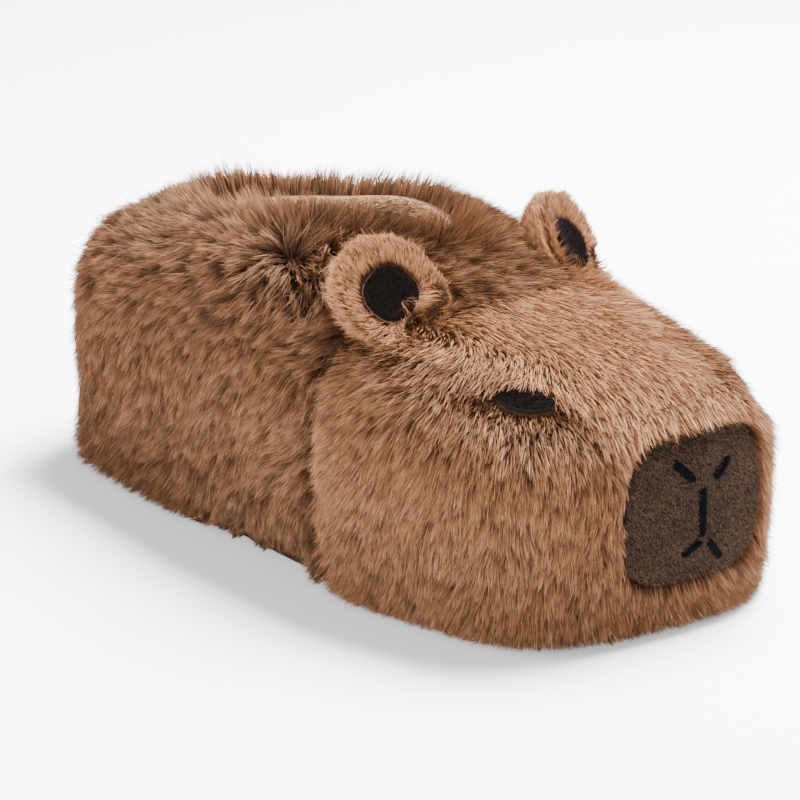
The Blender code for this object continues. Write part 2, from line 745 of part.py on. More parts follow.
def make_inner_ear(name, side, material, collection):
    """Dark patch in the hollow of an ear, straight at its foot and round at its tip."""
    frame = ear_frame(side)
    foot, across, up, face = frame

    def form(points):
        return ear_hollow(points, frame)

    centre = foot + up * (INNER_EAR_START + INNER_EAR_LENGTH / 2) - face * EAR_DEPTH
    rim = []
    for turn in angles(TRIM_POINTS):
        swell = math.copysign(abs(math.cos(turn)) ** 0.85, math.cos(turn)) * INNER_EAR_WIDTH / 2
        rise = math.copysign(abs(math.sin(turn)) ** 0.85, math.sin(turn)) * INNER_EAR_LENGTH / 2
        rim.append(centre + across * swell + up * rise)
    make_patch(name, form, np.array(rim), centre, face, 2 * CLEARANCE, INNER_EAR_THICKNESS, material, collection)


def main():
    for item in list(bpy.data.objects):
        bpy.data.objects.remove(item, do_unlink=True)
    slipper = bpy.data.collections.new("plush_slipper")
    bpy.context.scene.collection.children.link(slipper)
    fur = make_material("brown_pile", (0.36, 0.20, 0.11), 0.9)
    charcoal = make_material("charcoal_textile", (0.06, 0.06, 0.065), 0.85)
    fleece = make_material("beige_fleece", (0.62, 0.50, 0.38), 0.95)
    dark_fur = make_material("dark_short_pile", (0.045, 0.022, 0.015), 0.8)
    felt = make_material("black_felt", (0.008, 0.008, 0.009), 0.7)
    thread = make_material("black_thread", (0.010, 0.012, 0.016), 0.4)
    make_outsole(charcoal, slipper)
    make_upper(fur, slipper)
    make_insole(fleece, slipper)
    make_nose(dark_fur, slipper)
    for name in STITCHES:
        make_stitch(name, thread, slipper)
    for word, side in (("left", 1), ("right", -1)):
        make_eye("eye_" + word, side, felt, slipper)
        make_ear("ear_" + word, side, fur, slipper)
        make_inner_ear("inner_ear_" + word, side, felt, slipper)


main()
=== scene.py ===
"""Looks of the plush animal slipper: pile, lining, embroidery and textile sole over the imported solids."""

import math
from functools import partial

import bmesh
import bpy
import numpy as np
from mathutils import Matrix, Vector, kdtree


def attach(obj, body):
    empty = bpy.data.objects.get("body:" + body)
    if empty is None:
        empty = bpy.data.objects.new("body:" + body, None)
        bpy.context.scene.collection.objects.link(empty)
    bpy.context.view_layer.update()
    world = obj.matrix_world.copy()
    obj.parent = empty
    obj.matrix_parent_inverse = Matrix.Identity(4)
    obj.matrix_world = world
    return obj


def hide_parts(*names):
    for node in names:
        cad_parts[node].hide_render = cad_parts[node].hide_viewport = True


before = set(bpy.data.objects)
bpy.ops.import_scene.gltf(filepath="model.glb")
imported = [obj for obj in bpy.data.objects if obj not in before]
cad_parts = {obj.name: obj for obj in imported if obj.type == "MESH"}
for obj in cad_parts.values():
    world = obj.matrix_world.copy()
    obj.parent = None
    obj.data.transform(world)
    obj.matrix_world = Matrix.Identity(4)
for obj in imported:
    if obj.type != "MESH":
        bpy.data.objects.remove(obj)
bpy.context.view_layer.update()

# Named sizes of the solids, in metres
FOOT_LENGTH = 0.244
HEEL_WIDTH = 0.077
BALL_WIDTH = 0.100
LAST_INSTEP = 0.088
TOE_SWING = 0.006
HEEL_PADDING = 0.0115
TOE_PADDING = 0.0136
SIDE_PADDING = 0.012
CHEEK_PADDING = 0.0166
LENGTH = HEEL_PADDING + FOOT_LENGTH + TOE_PADDING
BACK = -LENGTH / 2
NOSE = LENGTH / 2
HEEL_HEIGHT = 0.0965
INSTEP_HEIGHT = 0.1125
HEAD_HEIGHT = 0.1005
HEEL_ROUNDING = 0.040
CROWN_ROUNDING = 0.052
HEAD_BACK = 0.0985 * LENGTH
HEAD_BACK_ROUNDING = 0.026
MUZZLE_ROUNDING = 0.0370
MUZZLE_YAW = math.radians(11.1)
LOBE_BLEND = 0.045
HEEL_TUCK = 0.070
HEAD_TUCK = 0.028
COLLAR_LENGTH = 0.107
COLLAR_WIDTH = 0.047
COLLAR_CENTRE = -0.117 * LENGTH
COLLAR_LIP = 0.006
SOLE_THICKNESS = 0.009
SOLE_MARGIN = 0.0055
SOLE_WIDTH = 1.15 * BALL_WIDTH
TOE_SPRING = 0.003
SKIRT_HEIGHT = 0.0035
CLEARANCE = 0.0004
NOSE_LIFT = 0.0005
NOSE_CENTRE = (NOSE, 0.0075, 0.0448)
NOSE_WIDTH = 0.0555
NOSE_HEIGHT = 0.0495
NOSE_THICKNESS = 0.004
STITCH_WIDTH = 0.0033
STITCH_THICKNESS = 0.0011
EYE_X = 0.403 * LENGTH
EYE_MIDDLE = 0.006
EYE_SPREAD = 0.40 * BALL_WIDTH
EYE_LENGTH = 0.0185
EYE_WIDTH = 0.0095
EYE_THICKNESS = 0.0030
EYE_TURN = math.radians(30)
EAR_X = 0.195 * LENGTH
EAR_MIDDLE = 0.0010
EAR_SPREAD = 0.365 * BALL_WIDTH
EAR_WIDTH = 0.031
EAR_LENGTH = 0.029
EAR_DEPTH = 0.014
EAR_LIFT = 0.003
EAR_GAP = 0.0006
EAR_LEAN = math.radians(42)
EAR_SPLAY = math.radians(34)
EAR_CUP = 0.004
INNER_EAR_WIDTH = 0.0185
INNER_EAR_LENGTH = 0.0185
INNER_EAR_START = 0.002
INNER_EAR_MIDDLE = INNER_EAR_START + INNER_EAR_LENGTH / 2
INNER_EAR_THICKNESS = 0.0014
SEAT = SOLE_THICKNESS + CLEARANCE

BODY_SECTIONS = (
    ("share", "ball", "instep", "belly"),
    (-0.04, -0.30, -0.10, 0.58),
    (0.11, 0.00, 0.00, 0.58),
    (0.27, 0.33, 0.50, 0.55),
    (0.42, 0.66, 1.00, 0.52),
    (0.52, 0.78, 0.92, 0.52),
    (0.60, 0.74, 0.72, 0.52),
    (0.73, 0.60, 0.26, 0.50),
)
HEAD_SECTIONS = (
    ("share", "breadth", "crown", "belly"),
    (0.58, 1.000, 1.000, 0.46),
    (0.67, 0.990, 0.990, 0.46),
    (0.79, 0.925, 0.910, 0.47),
    (0.88, 0.850, 0.845, 0.48),
    (0.98, 0.772, 0.765, 0.49),
    (1.05, 0.680, 0.700, 0.49),
)
LAST_SECTIONS = (
    ("share", "ball", "height", "swing"),
    (0.00, -0.10, 0.90, 0.0),
    (0.12, 0.00, 0.94, 0.0),
    (0.30, 0.10, 1.00, -0.3),
    (0.45, 0.45, 1.00, -0.4),
    (0.60, 0.88, 0.90, -0.1),
    (0.74, 1.00, 0.74, 0.4),
    (0.88, 0.80, 0.60, 1.0),
    (1.00, 0.40, 0.52, 1.5),
)
SOLE_SECTIONS = (
    ("share", "outer", "inner"),
    (0.00, 0.38, 0.38),
    (0.12, 0.40, 0.395),
    (0.30, 0.43, 0.395),
    (0.45, 0.470, 0.42),
    (0.60, 0.482, 0.465),
    (0.74, 0.482, 0.487),
    (0.88, 0.420, 0.455),
    (1.00, 0.345, 0.400),
)

# Camera, as the photograph sees the shoe
AZIMUTH = math.radians(48.0)
ELEVATION = math.radians(22.6)
DISTANCE = 1.030
FIT_ORIGIN = Vector((-0.00095, 0.0, 0.0))
AIM = Vector((0.0090, -0.0040, 0.0480))
LENS = 127.0

# Seam between forehead and cheek: place along the head and half breadth of the forehead
SEAM_X = (0.040, 0.057, 0.0744, 0.0947, 0.1084, 0.1238, 0.1317, 0.150)
SEAM_HALF = (0.050, 0.047, 0.039, 0.034, 0.029, 0.026, 0.024, 0.022)

# Where the pile parts below the collar on the right side
PARTING = (-0.028, -0.030, 0.105)
PARTING_REACH = 0.012

# Numbers of hairs and tufts, and the hairs' lengths on the body, the cheeks and the forehead
HAIRS = 470000
TUFTS = 46000
EAR_HAIRS = 26000
LINING_HAIRS = 42000
BODY_HAIR = 0.0124
CHEEK_HAIR = 0.0104
FOREHEAD_HAIR = 0.0092
EAR_FRONT_HAIR = 0.0050
EAR_BACK_HAIR = 0.0062
HAIR_WIDTH = 0.00036
NAP_WIDTH = 0.0003
PILE_TOP = 0.1305
FLOOR_GAP = 0.0008
SOLE_LINE = 0.0040
THREAD_PITCH = 0.00042
THREAD_RADIUS = 0.00026

# Side of the ears, in plan from +X to +Y, where their fur is short and folds over the dark patch
EAR_FOLD_WAY = math.radians(48.0)

# Lay of the pile: places on the skin in mm and the way the hair lies there in hundredths,
# (x, y, z, way x, way y, way z). Rows low on the right side serve the left side too, mirrored.
LAY_UNITS = (0.001, 0.001, 0.001, 0.01, 0.01, 0.01)
LAY = (
    (-84, -25, 98, -95, -19, -24), (-87, -33, 95, -97, -10, -23), (-89, -42, 89, -95, -10, -28),
    (-87, -46, 84, -76, -28, -59), (-91, -50, 73, -43, -17, -89), (-84, -52, 64, -32, -3, -95),
    (-61, -52, 77, -18, -23, -96), (-45, -47, 92, -37, -49, -79), (-23, -49, 95, 15, -56, -81),
    (-10, -48, 98, 51, -56, -66), (-8, -56, 83, -33, -27, -91), (-50, -55, 64, 19, -8, -98),
    (-16, -58, 64, -19, -4, -98), (20, -55, 83, -45, -35, -82), (33, -56, 76, -44, -26, -86),
    (-40, -38, 102, -98, 19, -11), (-26, -32, 107, -86, 48, 17), (-16, -31, 108, -78, 56, 27),
    (-3, -28, 109, 58, 78, 23), (-43, -43, 98, -76, -37, -53), (-20, -39, 105, -94, -25, -22),
    (-102, -50, 36, 18, 0, -98), (-74, -53, 42, -12, 2, -99), (-4, -27, 110, 9, 97, 23),
    (5, -19, 110, 11, 99, 10), (23, -1, 109, 76, 64, -13), (33, 12, 107, 50, 85, -14),
    (33, -8, 107, 98, -1, -21), (7, -35, 106, 95, -24, -20), (13, -42, 102, 54, -65, -53),
    (44, 9, 104, 76, 59, -27), (46, -12, 103, 70, 60, -18), (28, -57, 77, -23, -26, -94),
    (10, -59, 67, -44, -9, -90), (31, -59, 58, -47, -5, -88), (10, -59, 38, -37, 1, -93),
    (25, -59, 28, -16, 3, -99), (9, -58, 15, -12, 8, -99), (57, -13, 98, 76, 60, -27),
    (59, -29, 95, 89, 36, -28), (79, -7, 91, 90, 38, -21), (89, 12, 89, 94, -5, -24),
    (76, -21, 91, 96, 3, -27), (65, 36, 92, 96, -19, -19), (68, -39, 88, -5, -92, -39),
    (82, -31, 87, 36, -86, -35), (95, -30, 83, 37, -85, -36), (108, -23, 80, 84, -29, -45),
    (58, -52, 83, -33, -73, -59), (57, -59, 75, -62, -48, -61), (50, -63, 69, -48, -32, -82),
    (50, -65, 58, -43, -15, -89), (48, -65, 44, -43, -3, -90), (44, -65, 28, -23, 13, -96),
    (63, -61, 66, -27, -33, -90), (72, -61, 57, -8, -12, -99), (83, -55, 70, 21, -42, -88),
    (88, -58, 47, -7, -2, -100), (100, -53, 62, 25, -21, -94), (110, -48, 63, 21, -28, -94),
    (112, -49, 45, -4, -3, -100), (72, -61, 22, -6, 12, -99), (101, -54, 30, -2, 6, -100),
    (116, -38, 67, 53, -16, -83), (121, -39, 52, 4, 0, -100), (131, -9, 15, -15, -19, -97),
    (135, 12, 10, -14, 6, -99), (134, 33, 7, -29, 45, -85), (127, -26, 19, -20, -26, -94),
    (129, 11, 71, 65, -19, -74), (134, 28, 65, 51, -12, -85), (125, -17, 70, 60, -20, -78),
    (127, -28, 47, -10, -24, -97),
)
FAR_RIM_LAY = (
    (-102, 20, 95, -100, 10, -30), (-75, 26, 100, -30, 80, 20), (-40, 32, 105, 10, 90, 20),
    (-5, 32, 108, 40, 80, 10), (20, 27, 109, 80, 50, 0), (80, 36, 89, 90, 35, -30),
    (100, 34, 83, 90, 25, -40), (125, 50, 50, 10, 30, -95),
)


def read_column(sections, name, share):
    """Value of a named column at a share of the length, on a smooth curve through a table's rows."""
    columns, *rows = sections
    stations, values = (np.array([row[columns.index(word)] for row in rows]) for word in ("share", name))
    slopes = np.gradient(values, stations)
    row = np.clip(np.searchsorted(stations, share) - 1, 0, len(stations) - 2)
    span = stations[row + 1] - stations[row]
    t = np.clip((share - stations[row]) / span, 0.0, 1.0)
    rise = t * t * (3 - 2 * t)
    start = (t ** 3 - 2 * t ** 2 + t) * span * slopes[row]
    end = (t ** 3 - t ** 2) * span * slopes[row + 1]
    return values[row] + (values[row + 1] - values[row]) * rise + start + end


def ease(low, high, value):
    t = np.clip((value - low) / (high - low), 0.0, 1.0)
    return t * t * (3 - 2 * t)


def unit(vectors):
    return vectors / np.maximum(np.linalg.norm(vectors, axis=-1, keepdims=True), 1e-12)


def rounded_box(count, across_power, up_power):
    """Shares of the half width and half height round an outline between an ellipse and a box."""
    turn = angles(count)
    wide, tall = np.cos(turn), np.sin(turn)
    return np.sign(wide) * np.abs(wide) ** across_power, np.sign(tall) * np.abs(tall) ** up_power


def lobe(x, y, z, half, crown, belly, foot, back, front, power, roof_power):
    back_end, back_rounding = back
    front_end, front_rounding = front
    rise = np.where(z > belly, crown - belly, belly + foot)
    girth = (np.abs(y) / half) ** power + (np.abs(z - belly) / rise) ** roof_power
    rear = np.maximum(back_end + back_rounding - x, 0.0) / back_rounding
    fore = np.maximum(x - front_end + front_rounding, 0.0) / front_rounding
    return (girth ** (3.0 / power) + rear ** 3 + fore ** 3) ** (1.0 / 3.0)


def lobes(points):
    """Values of the head lobe and of the heel lobe."""
    x, y, z = points[..., 0], points[..., 1], points[..., 2]
    share = (x - BACK) / LENGTH
    heel_half = HEEL_WIDTH / 2 + SIDE_PADDING
    ball_half = BALL_WIDTH / 2 + SIDE_PADDING
    half = heel_half + (ball_half - heel_half) * read_column(BODY_SECTIONS, "ball", share)
    crown_share = read_column(BODY_SECTIONS, "instep", share)
    crown = HEEL_HEIGHT + (INSTEP_HEIGHT - HEEL_HEIGHT) * crown_share
    belly = HEEL_HEIGHT * read_column(BODY_SECTIONS, "belly", share)
    rear_end = (BACK, HEEL_ROUNDING)
    hidden_end = (HEAD_BACK + 2 * HEAD_BACK_ROUNDING, CROWN_ROUNDING)
    body = lobe(x, y, z, half, crown, belly, HEEL_TUCK, rear_end, hidden_end, 3.0, 2.8)
    turned_x = x - math.tan(MUZZLE_YAW) * y * ease(HEAD_BACK, NOSE, x)
    share = (turned_x - BACK) / LENGTH
    head_half = BALL_WIDTH / 2 + CHEEK_PADDING
    half = head_half * read_column(HEAD_SECTIONS, "breadth", share)
    crown = HEAD_HEIGHT * read_column(HEAD_SECTIONS, "crown", share)
    belly = HEAD_HEIGHT * read_column(HEAD_SECTIONS, "belly", share)
    neck_end = (HEAD_BACK, HEAD_BACK_ROUNDING)
    nose_end = (NOSE, MUZZLE_ROUNDING)
    head = lobe(turned_x, y, z, half, crown, belly, HEAD_TUCK, neck_end, nose_end, 2.8, 2.6)
    return head, body


def upper_form(points):
    head, body = lobes(points)
    mix = np.clip(0.5 + 0.5 * (head - body) / LOBE_BLEND, 0.0, 1.0)
    return head * (1 - mix) + body * mix - LOBE_BLEND * mix * (1 - mix) - 1.0


def last_form(points):
    x, y, z = points[..., 0], points[..., 1], points[..., 2]
    heel_end = BACK + HEEL_PADDING
    toe_end = heel_end + FOOT_LENGTH
    share = (x - heel_end) / FOOT_LENGTH
    ball = read_column(LAST_SECTIONS, "ball", share)
    half = HEEL_WIDTH / 2 + (BALL_WIDTH - HEEL_WIDTH) / 2 * ball
    crown = SEAT + LAST_INSTEP * read_column(LAST_SECTIONS, "height", share)
    belly = SEAT + 0.3 * (crown - SEAT)
    middle = TOE_SWING * read_column(LAST_SECTIONS, "swing", share)
    rear_end = (heel_end, 0.9 * HEEL_WIDTH / 2)
    fore_end = (toe_end, 0.9 * BALL_WIDTH / 2)
    return lobe(x, y - middle, z, half, crown, belly, crown, rear_end, fore_end, 2.5, 2.4) - 1.0


def sole_form(points):
    x, y = points[..., 0], points[..., 1]
    heel_end = BACK + SOLE_MARGIN
    toe_end = NOSE - SOLE_MARGIN
    share = (x - heel_end) / (toe_end - heel_end)
    outer = SOLE_WIDTH * read_column(SOLE_SECTIONS, "outer", share)
    inner = SOLE_WIDTH * read_column(SOLE_SECTIONS, "inner", share)
    half = np.where(y < 0, outer, inner)
    yawed_x = x - math.tan(MUZZLE_YAW) * y * ease(HEAD_BACK, NOSE, x)
    rear = np.maximum(heel_end + 0.40 * SOLE_WIDTH - x, 0.0) / (0.40 * SOLE_WIDTH)
    fore = np.maximum(yawed_x - toe_end + 0.44 * SOLE_WIDTH, 0.0) / (0.44 * SOLE_WIDTH)
    return ((np.abs(y) / half) ** 2.6 + rear ** 2.6 + fore ** 2.6) ** (1 / 2.6) - 1.0


def cast(form, start, directions, reach=0.25, steps=26):
    near = np.zeros(directions.shape[:-1])
    far = np.full(directions.shape[:-1], reach)
    for _ in range(steps):
        middle = (near + far) / 2
        inside = form(start + directions * middle[..., None]) < 0
        near = np.where(inside, middle, near)
        far = np.where(inside, far, middle)
    return start + directions * near[..., None]


def slope(form, points, step=0.0004):
    columns = []
    for axis in range(3):
        shift = np.zeros(3)
        shift[axis] = step
        columns.append(form(points + shift) - form(points - shift))
    return np.stack(columns, axis=-1) / (2 * step)


def normals(form, points):
    return unit(slope(form, points))


def gap_to(form, points):
    return form(points) / np.linalg.norm(slope(form, points), axis=-1)


def angles(count):
    return np.arange(count) * 2 * math.pi / count


def outline(form, count, height, offset=0.0):
    turn = angles(count)
    reach = np.stack([0.52 * LENGTH * np.cos(turn), 0.5 * BALL_WIDTH * np.sin(turn)], axis=-1)
    heading = np.column_stack([unit(reach), np.zeros(count)])
    start = np.array([0.0, 0.0, height])
    points = cast(form, start, heading)
    across = normals(form, points)
    across[:, 2] = 0.0
    return points + unit(across) * offset


def around(point, across, above, radius, sides):
    return [point + (across * math.cos(a) + above * math.sin(a)) * radius for a in angles(sides)]


def collar_ring(count, growth):
    turn = angles(count)
    x = COLLAR_CENTRE + (COLLAR_LENGTH / 2 + growth) * np.cos(turn)
    y = (COLLAR_WIDTH / 2 + growth) * np.sin(turn)
    return x, y


def roof(form, x, y):
    start = np.stack([x, y, np.full(x.shape, 0.3 * HEEL_HEIGHT)], axis=-1)
    return cast(form, start, np.broadcast_to([0.0, 0.0, 1.0], start.shape))


def wall_paths(form, centre, top, bottom, rings, path_steps=160):
    up = unit(top - centre)
    down = unit(bottom - centre)
    angle = np.arccos(np.clip((up * down).sum(axis=1), -1.0, 1.0))
    step = np.linspace(0.0, 1.0, path_steps)[:, None]
    weight_up = np.sin((1 - step) * angle) / np.sin(angle)
    weight_down = np.sin(step * angle) / np.sin(angle)
    heading = unit(weight_up[..., None] * up + weight_down[..., None] * down)
    fine = cast(form, centre, heading)
    fine[0] = top
    fine[-1] = bottom
    run = np.zeros(fine.shape[:2])
    run[1:] = np.cumsum(np.linalg.norm(np.diff(fine, axis=0), axis=2), axis=0)
    wanted = np.linspace(0.0, 1.0, rings + 1)
    result = np.zeros((rings + 1, fine.shape[1], 3))
    for column in range(fine.shape[1]):
        share = run[:, column] / run[-1, column]
        for axis in range(3):
            result[:, column, axis] = np.interp(wanted, share, fine[:, column, axis])
    return result


def toe_spring(x):
    return TOE_SPRING * ease(0.62 * NOSE, 1.1 * NOSE, x)


def lifted(points, height):
    result = points.copy()
    result[:, 2] = height + toe_spring(points[:, 0])
    return result


def waves(points, wavelength, seed, count=7):
    """Smooth noise from -1 to 1 over a surface."""
    rng = np.random.default_rng(seed)
    total = np.zeros(points.shape[:-1])
    for _ in range(count):
        heading = unit(rng.normal(size=3))
        pitch = 2 * math.pi / (wavelength * rng.uniform(0.7, 1.5))
        total += np.sin(points @ heading * pitch + rng.uniform(0, 2 * math.pi))
    return total / count ** 0.5 / 1.2


def muzzle_axes():
    across = np.array([math.sin(MUZZLE_YAW), math.cos(MUZZLE_YAW), 0.0])
    out = np.array([math.cos(MUZZLE_YAW), -math.sin(MUZZLE_YAW), 0.0])
    return across, out


def nose_point(across_share, up_share):
    across, out = muzzle_axes()
    middle = np.array(NOSE_CENTRE) - out * MUZZLE_ROUNDING
    return middle + across * across_share * NOSE_WIDTH / 2 + np.array([0.0, 0.0, up_share * NOSE_HEIGHT / 2])


def nose_shares(points):
    """Shares of the nose patch's half width and half height."""
    across, _ = muzzle_axes()
    offset = points - np.array(NOSE_CENTRE)
    return offset @ across / (NOSE_WIDTH / 2), offset[:, 2] / (NOSE_HEIGHT / 2)


def eye_place(side):
    y = EYE_MIDDLE + side * EYE_SPREAD
    x = EYE_X + math.tan(MUZZLE_YAW) * y
    return roof(upper_form, np.array([x]), np.array([y]))[0]


def eye_axes(side):
    place = eye_place(side)
    out = normals(upper_form, place[None, :])[0]
    seam = np.array([math.cos(EYE_TURN), -side * math.sin(EYE_TURN), 0.0])
    along = unit(seam - out * (seam @ out))
    return place, along, np.cross(out, along), out


def ear_frame(side):
    foot = roof(upper_form, np.array([EAR_X]), np.array([EAR_MIDDLE + side * EAR_SPREAD]))
    foot = foot[0] + normals(upper_form, foot)[0] * EAR_LIFT
    lean, splay = EAR_LEAN, EAR_SPLAY
    up = np.array([-math.sin(lean), side * math.sin(splay) * math.cos(lean), math.cos(splay) * math.cos(lean)])
    face = np.array([math.cos(lean), side * math.sin(splay) * math.sin(lean), math.cos(splay) * math.sin(lean)])
    return foot, np.cross(up, face), up, face


def ear_body(points, ear):
    foot, across, up, face = ear
    offset = points - foot
    width = np.abs(offset @ across) / (EAR_WIDTH / 2)
    middle = 0.36 * EAR_LENGTH
    rise = np.abs(offset @ up - middle) / (EAR_LENGTH - middle)
    depth = np.abs(offset @ face) / EAR_DEPTH
    return (width ** 2.3 + rise ** 2.3 + depth ** 2.3) ** (1 / 2.3) - 1.0


def ear_hollow(points, ear):
    foot, across, up, face = ear
    offset = points - foot
    width = offset @ across / (EAR_WIDTH / 2)
    rise = (offset @ up - 0.36 * EAR_LENGTH) / (0.64 * EAR_LENGTH)
    dish = EAR_CUP * (np.minimum(width ** 2 + rise ** 2, 1.0) - 0.8)
    return offset @ face - dish


def ear_cup(points, ear):
    return np.maximum(ear_body(points, ear), ear_hollow(points, ear) / EAR_DEPTH)


def ear_form(points, ear):
    return np.maximum(ear_cup(points, ear), (EAR_GAP - gap_to(upper_form, points)) / EAR_DEPTH)


# Materials


def new_material(name, roughness, specular=0.5):
    material = bpy.data.materials.new(name)
    material.use_nodes = True
    tree = material.node_tree
    shader = tree.nodes["Principled BSDF"]
    shader.inputs["Roughness"].default_value = roughness
    shader.inputs["Specular IOR Level"].default_value = specular
    return material, tree, shader


def add_node(tree, kind, inputs=None, **settings):
    made = tree.nodes.new(kind)
    for key, value in settings.items():
        setattr(made, key, value)
    for key, value in (inputs or {}).items():
        socket = made.inputs[key]
        if isinstance(value, bpy.types.NodeSocket):
            tree.links.new(value, socket)
        else:
            socket.default_value = value
    return made


def ramp(tree, factor, stops):
    made = add_node(tree, "ShaderNodeValToRGB", {"Fac": factor})
    elements = made.color_ramp.elements
    while len(elements) < len(stops):
        elements.new(0.5)
    for element, (place, colour) in zip(elements, stops):
        element.position = place
        element.color = (*colour, 1)
    return made.outputs["Color"]


def place_noise(tree, scale, detail=3.0, roughness=0.5):
    coords = add_node(tree, "ShaderNodeTexCoord")
    noise = add_node(tree, "ShaderNodeTexNoise",
                     {"Vector": coords.outputs["Object"], "Scale": scale, "Detail": detail, "Roughness": roughness})
    return noise.outputs["Fac"]


def tinted(tree, colour, factor, low, high):
    """Colour scaled by a factor between two gains."""
    gain = add_node(tree, "ShaderNodeMapRange", {"Value": factor, "To Min": low, "To Max": high})
    return add_node(tree, "ShaderNodeVectorMath", {0: colour, "Scale": gain.outputs["Result"]},
                    operation="SCALE").outputs["Vector"]


def strand_material(name, stops, spread, specular, roughness=0.65, patch=(0.9, 1.1), patch_scale=18.0):
    """Hair whose colour runs from root to tip, with its own shade for each strand."""
    material, tree, shader = new_material(name, roughness, specular)
    uv = add_node(tree, "ShaderNodeUVMap", uv_map="UVMap")
    parts = add_node(tree, "ShaderNodeSeparateXYZ", {"Vector": uv.outputs["UV"]})
    colour = ramp(tree, parts.outputs["Y"], stops)
    colour = tinted(tree, colour, parts.outputs["X"], *spread)
    colour = tinted(tree, colour, place_noise(tree, patch_scale), *patch)
    tree.links.new(colour, shader.inputs["Base Color"])
    return material


def cloth_material(name, dark, light, scale, bump):
    """Short nap: mottled colour and fine bump."""
    material, tree, shader = new_material(name, 0.9, 0.15)
    fine = place_noise(tree, scale, 6.0, 0.65)
    broad = place_noise(tree, scale * 0.06, 2.0)
    colour = ramp(tree, fine, ((0.3, dark), (0.7, light)))
    colour = tinted(tree, colour, broad, 0.85, 1.15)
    tree.links.new(colour, shader.inputs["Base Color"])
    raised = add_node(tree, "ShaderNodeBump", {"Height": fine, "Strength": bump, "Distance": 0.001})
    tree.links.new(raised.outputs["Normal"], shader.inputs["Normal"])
    return material


def weave_material(name, dark, light, pitch):
    """Textile of crossing yarns."""
    material, tree, shader = new_material(name, 0.9, 0.1)
    coords = add_node(tree, "ShaderNodeTexCoord")
    heights = []
    for direction in ("X", "Y"):
        wave = add_node(tree, "ShaderNodeTexWave",
                        {"Vector": coords.outputs["Object"], "Scale": 1.0 / (pitch * 20), "Distortion": 0.6,
                         "Detail": 1.0, "Detail Scale": 3.0},
                        wave_type="BANDS", bands_direction=direction, wave_profile="SIN")
        heights.append(wave.outputs["Fac"])
    cross = add_node(tree, "ShaderNodeMath", {0: heights[0], 1: heights[1]}, operation="MULTIPLY").outputs["Value"]
    colour = ramp(tree, cross, ((0.1, dark), (0.75, light)))
    colour = tinted(tree, colour, place_noise(tree, 60.0), 0.8, 1.2)
    tree.links.new(colour, shader.inputs["Base Color"])
    raised = add_node(tree, "ShaderNodeBump", {"Height": cross, "Strength": 0.6, "Distance": 0.0005})
    tree.links.new(raised.outputs["Normal"], shader.inputs["Normal"])
    return material


# Meshes


def show(name, data):
    item = bpy.data.objects.new(name, data)
    bpy.context.scene.collection.objects.link(item)
    return item


def link(name, data, material, slot, *replaced):
    data.name = name
    item = show(name, data)
    data.materials.append(material)
    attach(item, "root")
    if replaced:
        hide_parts(*replaced)
    return item


def add_ring(mesh, points):
    return [mesh.verts.new(tuple(point)) for point in points]


def bridge(mesh, ring_a, ring_b):
    count = len(ring_a)
    for i in range(count):
        k = (i + 1) % count
        mesh.faces.new((ring_a[i], ring_b[i], ring_b[k], ring_a[k]))


def bridge_all(mesh, rings):
    for ring_a, ring_b in zip(rings, rings[1:]):
        bridge(mesh, ring_a, ring_b)


def to_mesh(mesh):
    data = bpy.data.meshes.new("skin")
    bmesh.ops.recalc_face_normals(mesh, faces=mesh.faces[:])
    mesh.to_mesh(data)
    mesh.free()
    data.shade_smooth()
    return data


def sleeve(rings, closed=False):
    """Skin over rings of points, open at both ends or joined end to end."""
    mesh = bmesh.new()
    rings = [add_ring(mesh, ring) for ring in rings]
    bridge_all(mesh, rings + rings[:1] if closed else rings)
    return to_mesh(mesh)


def capped(first, rings, last):
    """Skin over rings of points, drawn to a point at both ends."""
    mesh = bmesh.new()
    first, last = mesh.verts.new(tuple(first)), mesh.verts.new(tuple(last))
    rings = [add_ring(mesh, ring) for ring in rings]
    bridge_all(mesh, rings)
    count = len(rings[0])
    for i in range(count):
        k = (i + 1) % count
        mesh.faces.new((first, rings[0][i], rings[0][k]))
        mesh.faces.new((last, rings[-1][k], rings[-1][i]))
    return to_mesh(mesh)


def patch_rings(form, rim, centre, heading, shares, lifts):
    rings = []
    for share, lift in zip(shares, lifts):
        start = centre + (rim - centre) * share
        points = cast(form, start, np.broadcast_to(heading, start.shape))
        rings.append(points + normals(form, points) * lift)
    return rings


def patch_mesh(form, rim, centre, heading, lift, thickness, steps=8):
    """Thin piece between two offsets of a form, with a soft round edge."""
    shares = tuple(0.94 * ring / steps for ring in range(steps + 1))
    under = patch_rings(form, rim, centre, heading, shares, (lift,) * (steps + 1))
    full = lift + thickness
    edge = (0.985, 1.0, 0.99, 0.97)
    lifts = tuple(lift + thickness * part for part in (0.12, 0.4, 0.72, 0.92))
    over = patch_rings(form, rim, centre, heading, edge + shares[::-1], lifts + (full,) * (steps + 1))
    return capped(under[0][0], under[1:] + over[:-1], over[-1][0])


def napped_patch(name, node, slot, cloth, hair, form, rim, middle, heading, lift, thickness, grid, hairs, comb,
                 pile, seed, rng, steps=8):
    """Cloth patch over a solid, and its short pile.

    name: holds {} where the two pieces' names differ. grid: shares of the rim between which the pile grows,
    and the number of rings there. pile: length and steepness.
    """
    data = patch_mesh(form, rim, middle, heading, lift, thickness, steps)
    link(name.format("patch"), data, cloth, slot, node)
    rings = patch_rings(form, rim, middle, heading, np.linspace(*grid), (lift + thickness,) * grid[2])
    roots = scatter(np.stack(rings), hairs, rng)
    outs = normals(form, roots)
    combs = along_skin(np.array(comb), outs)
    link(name.format("nap"), nap(roots, outs, combs, *pile, NAP_WIDTH, seed), hair, slot)


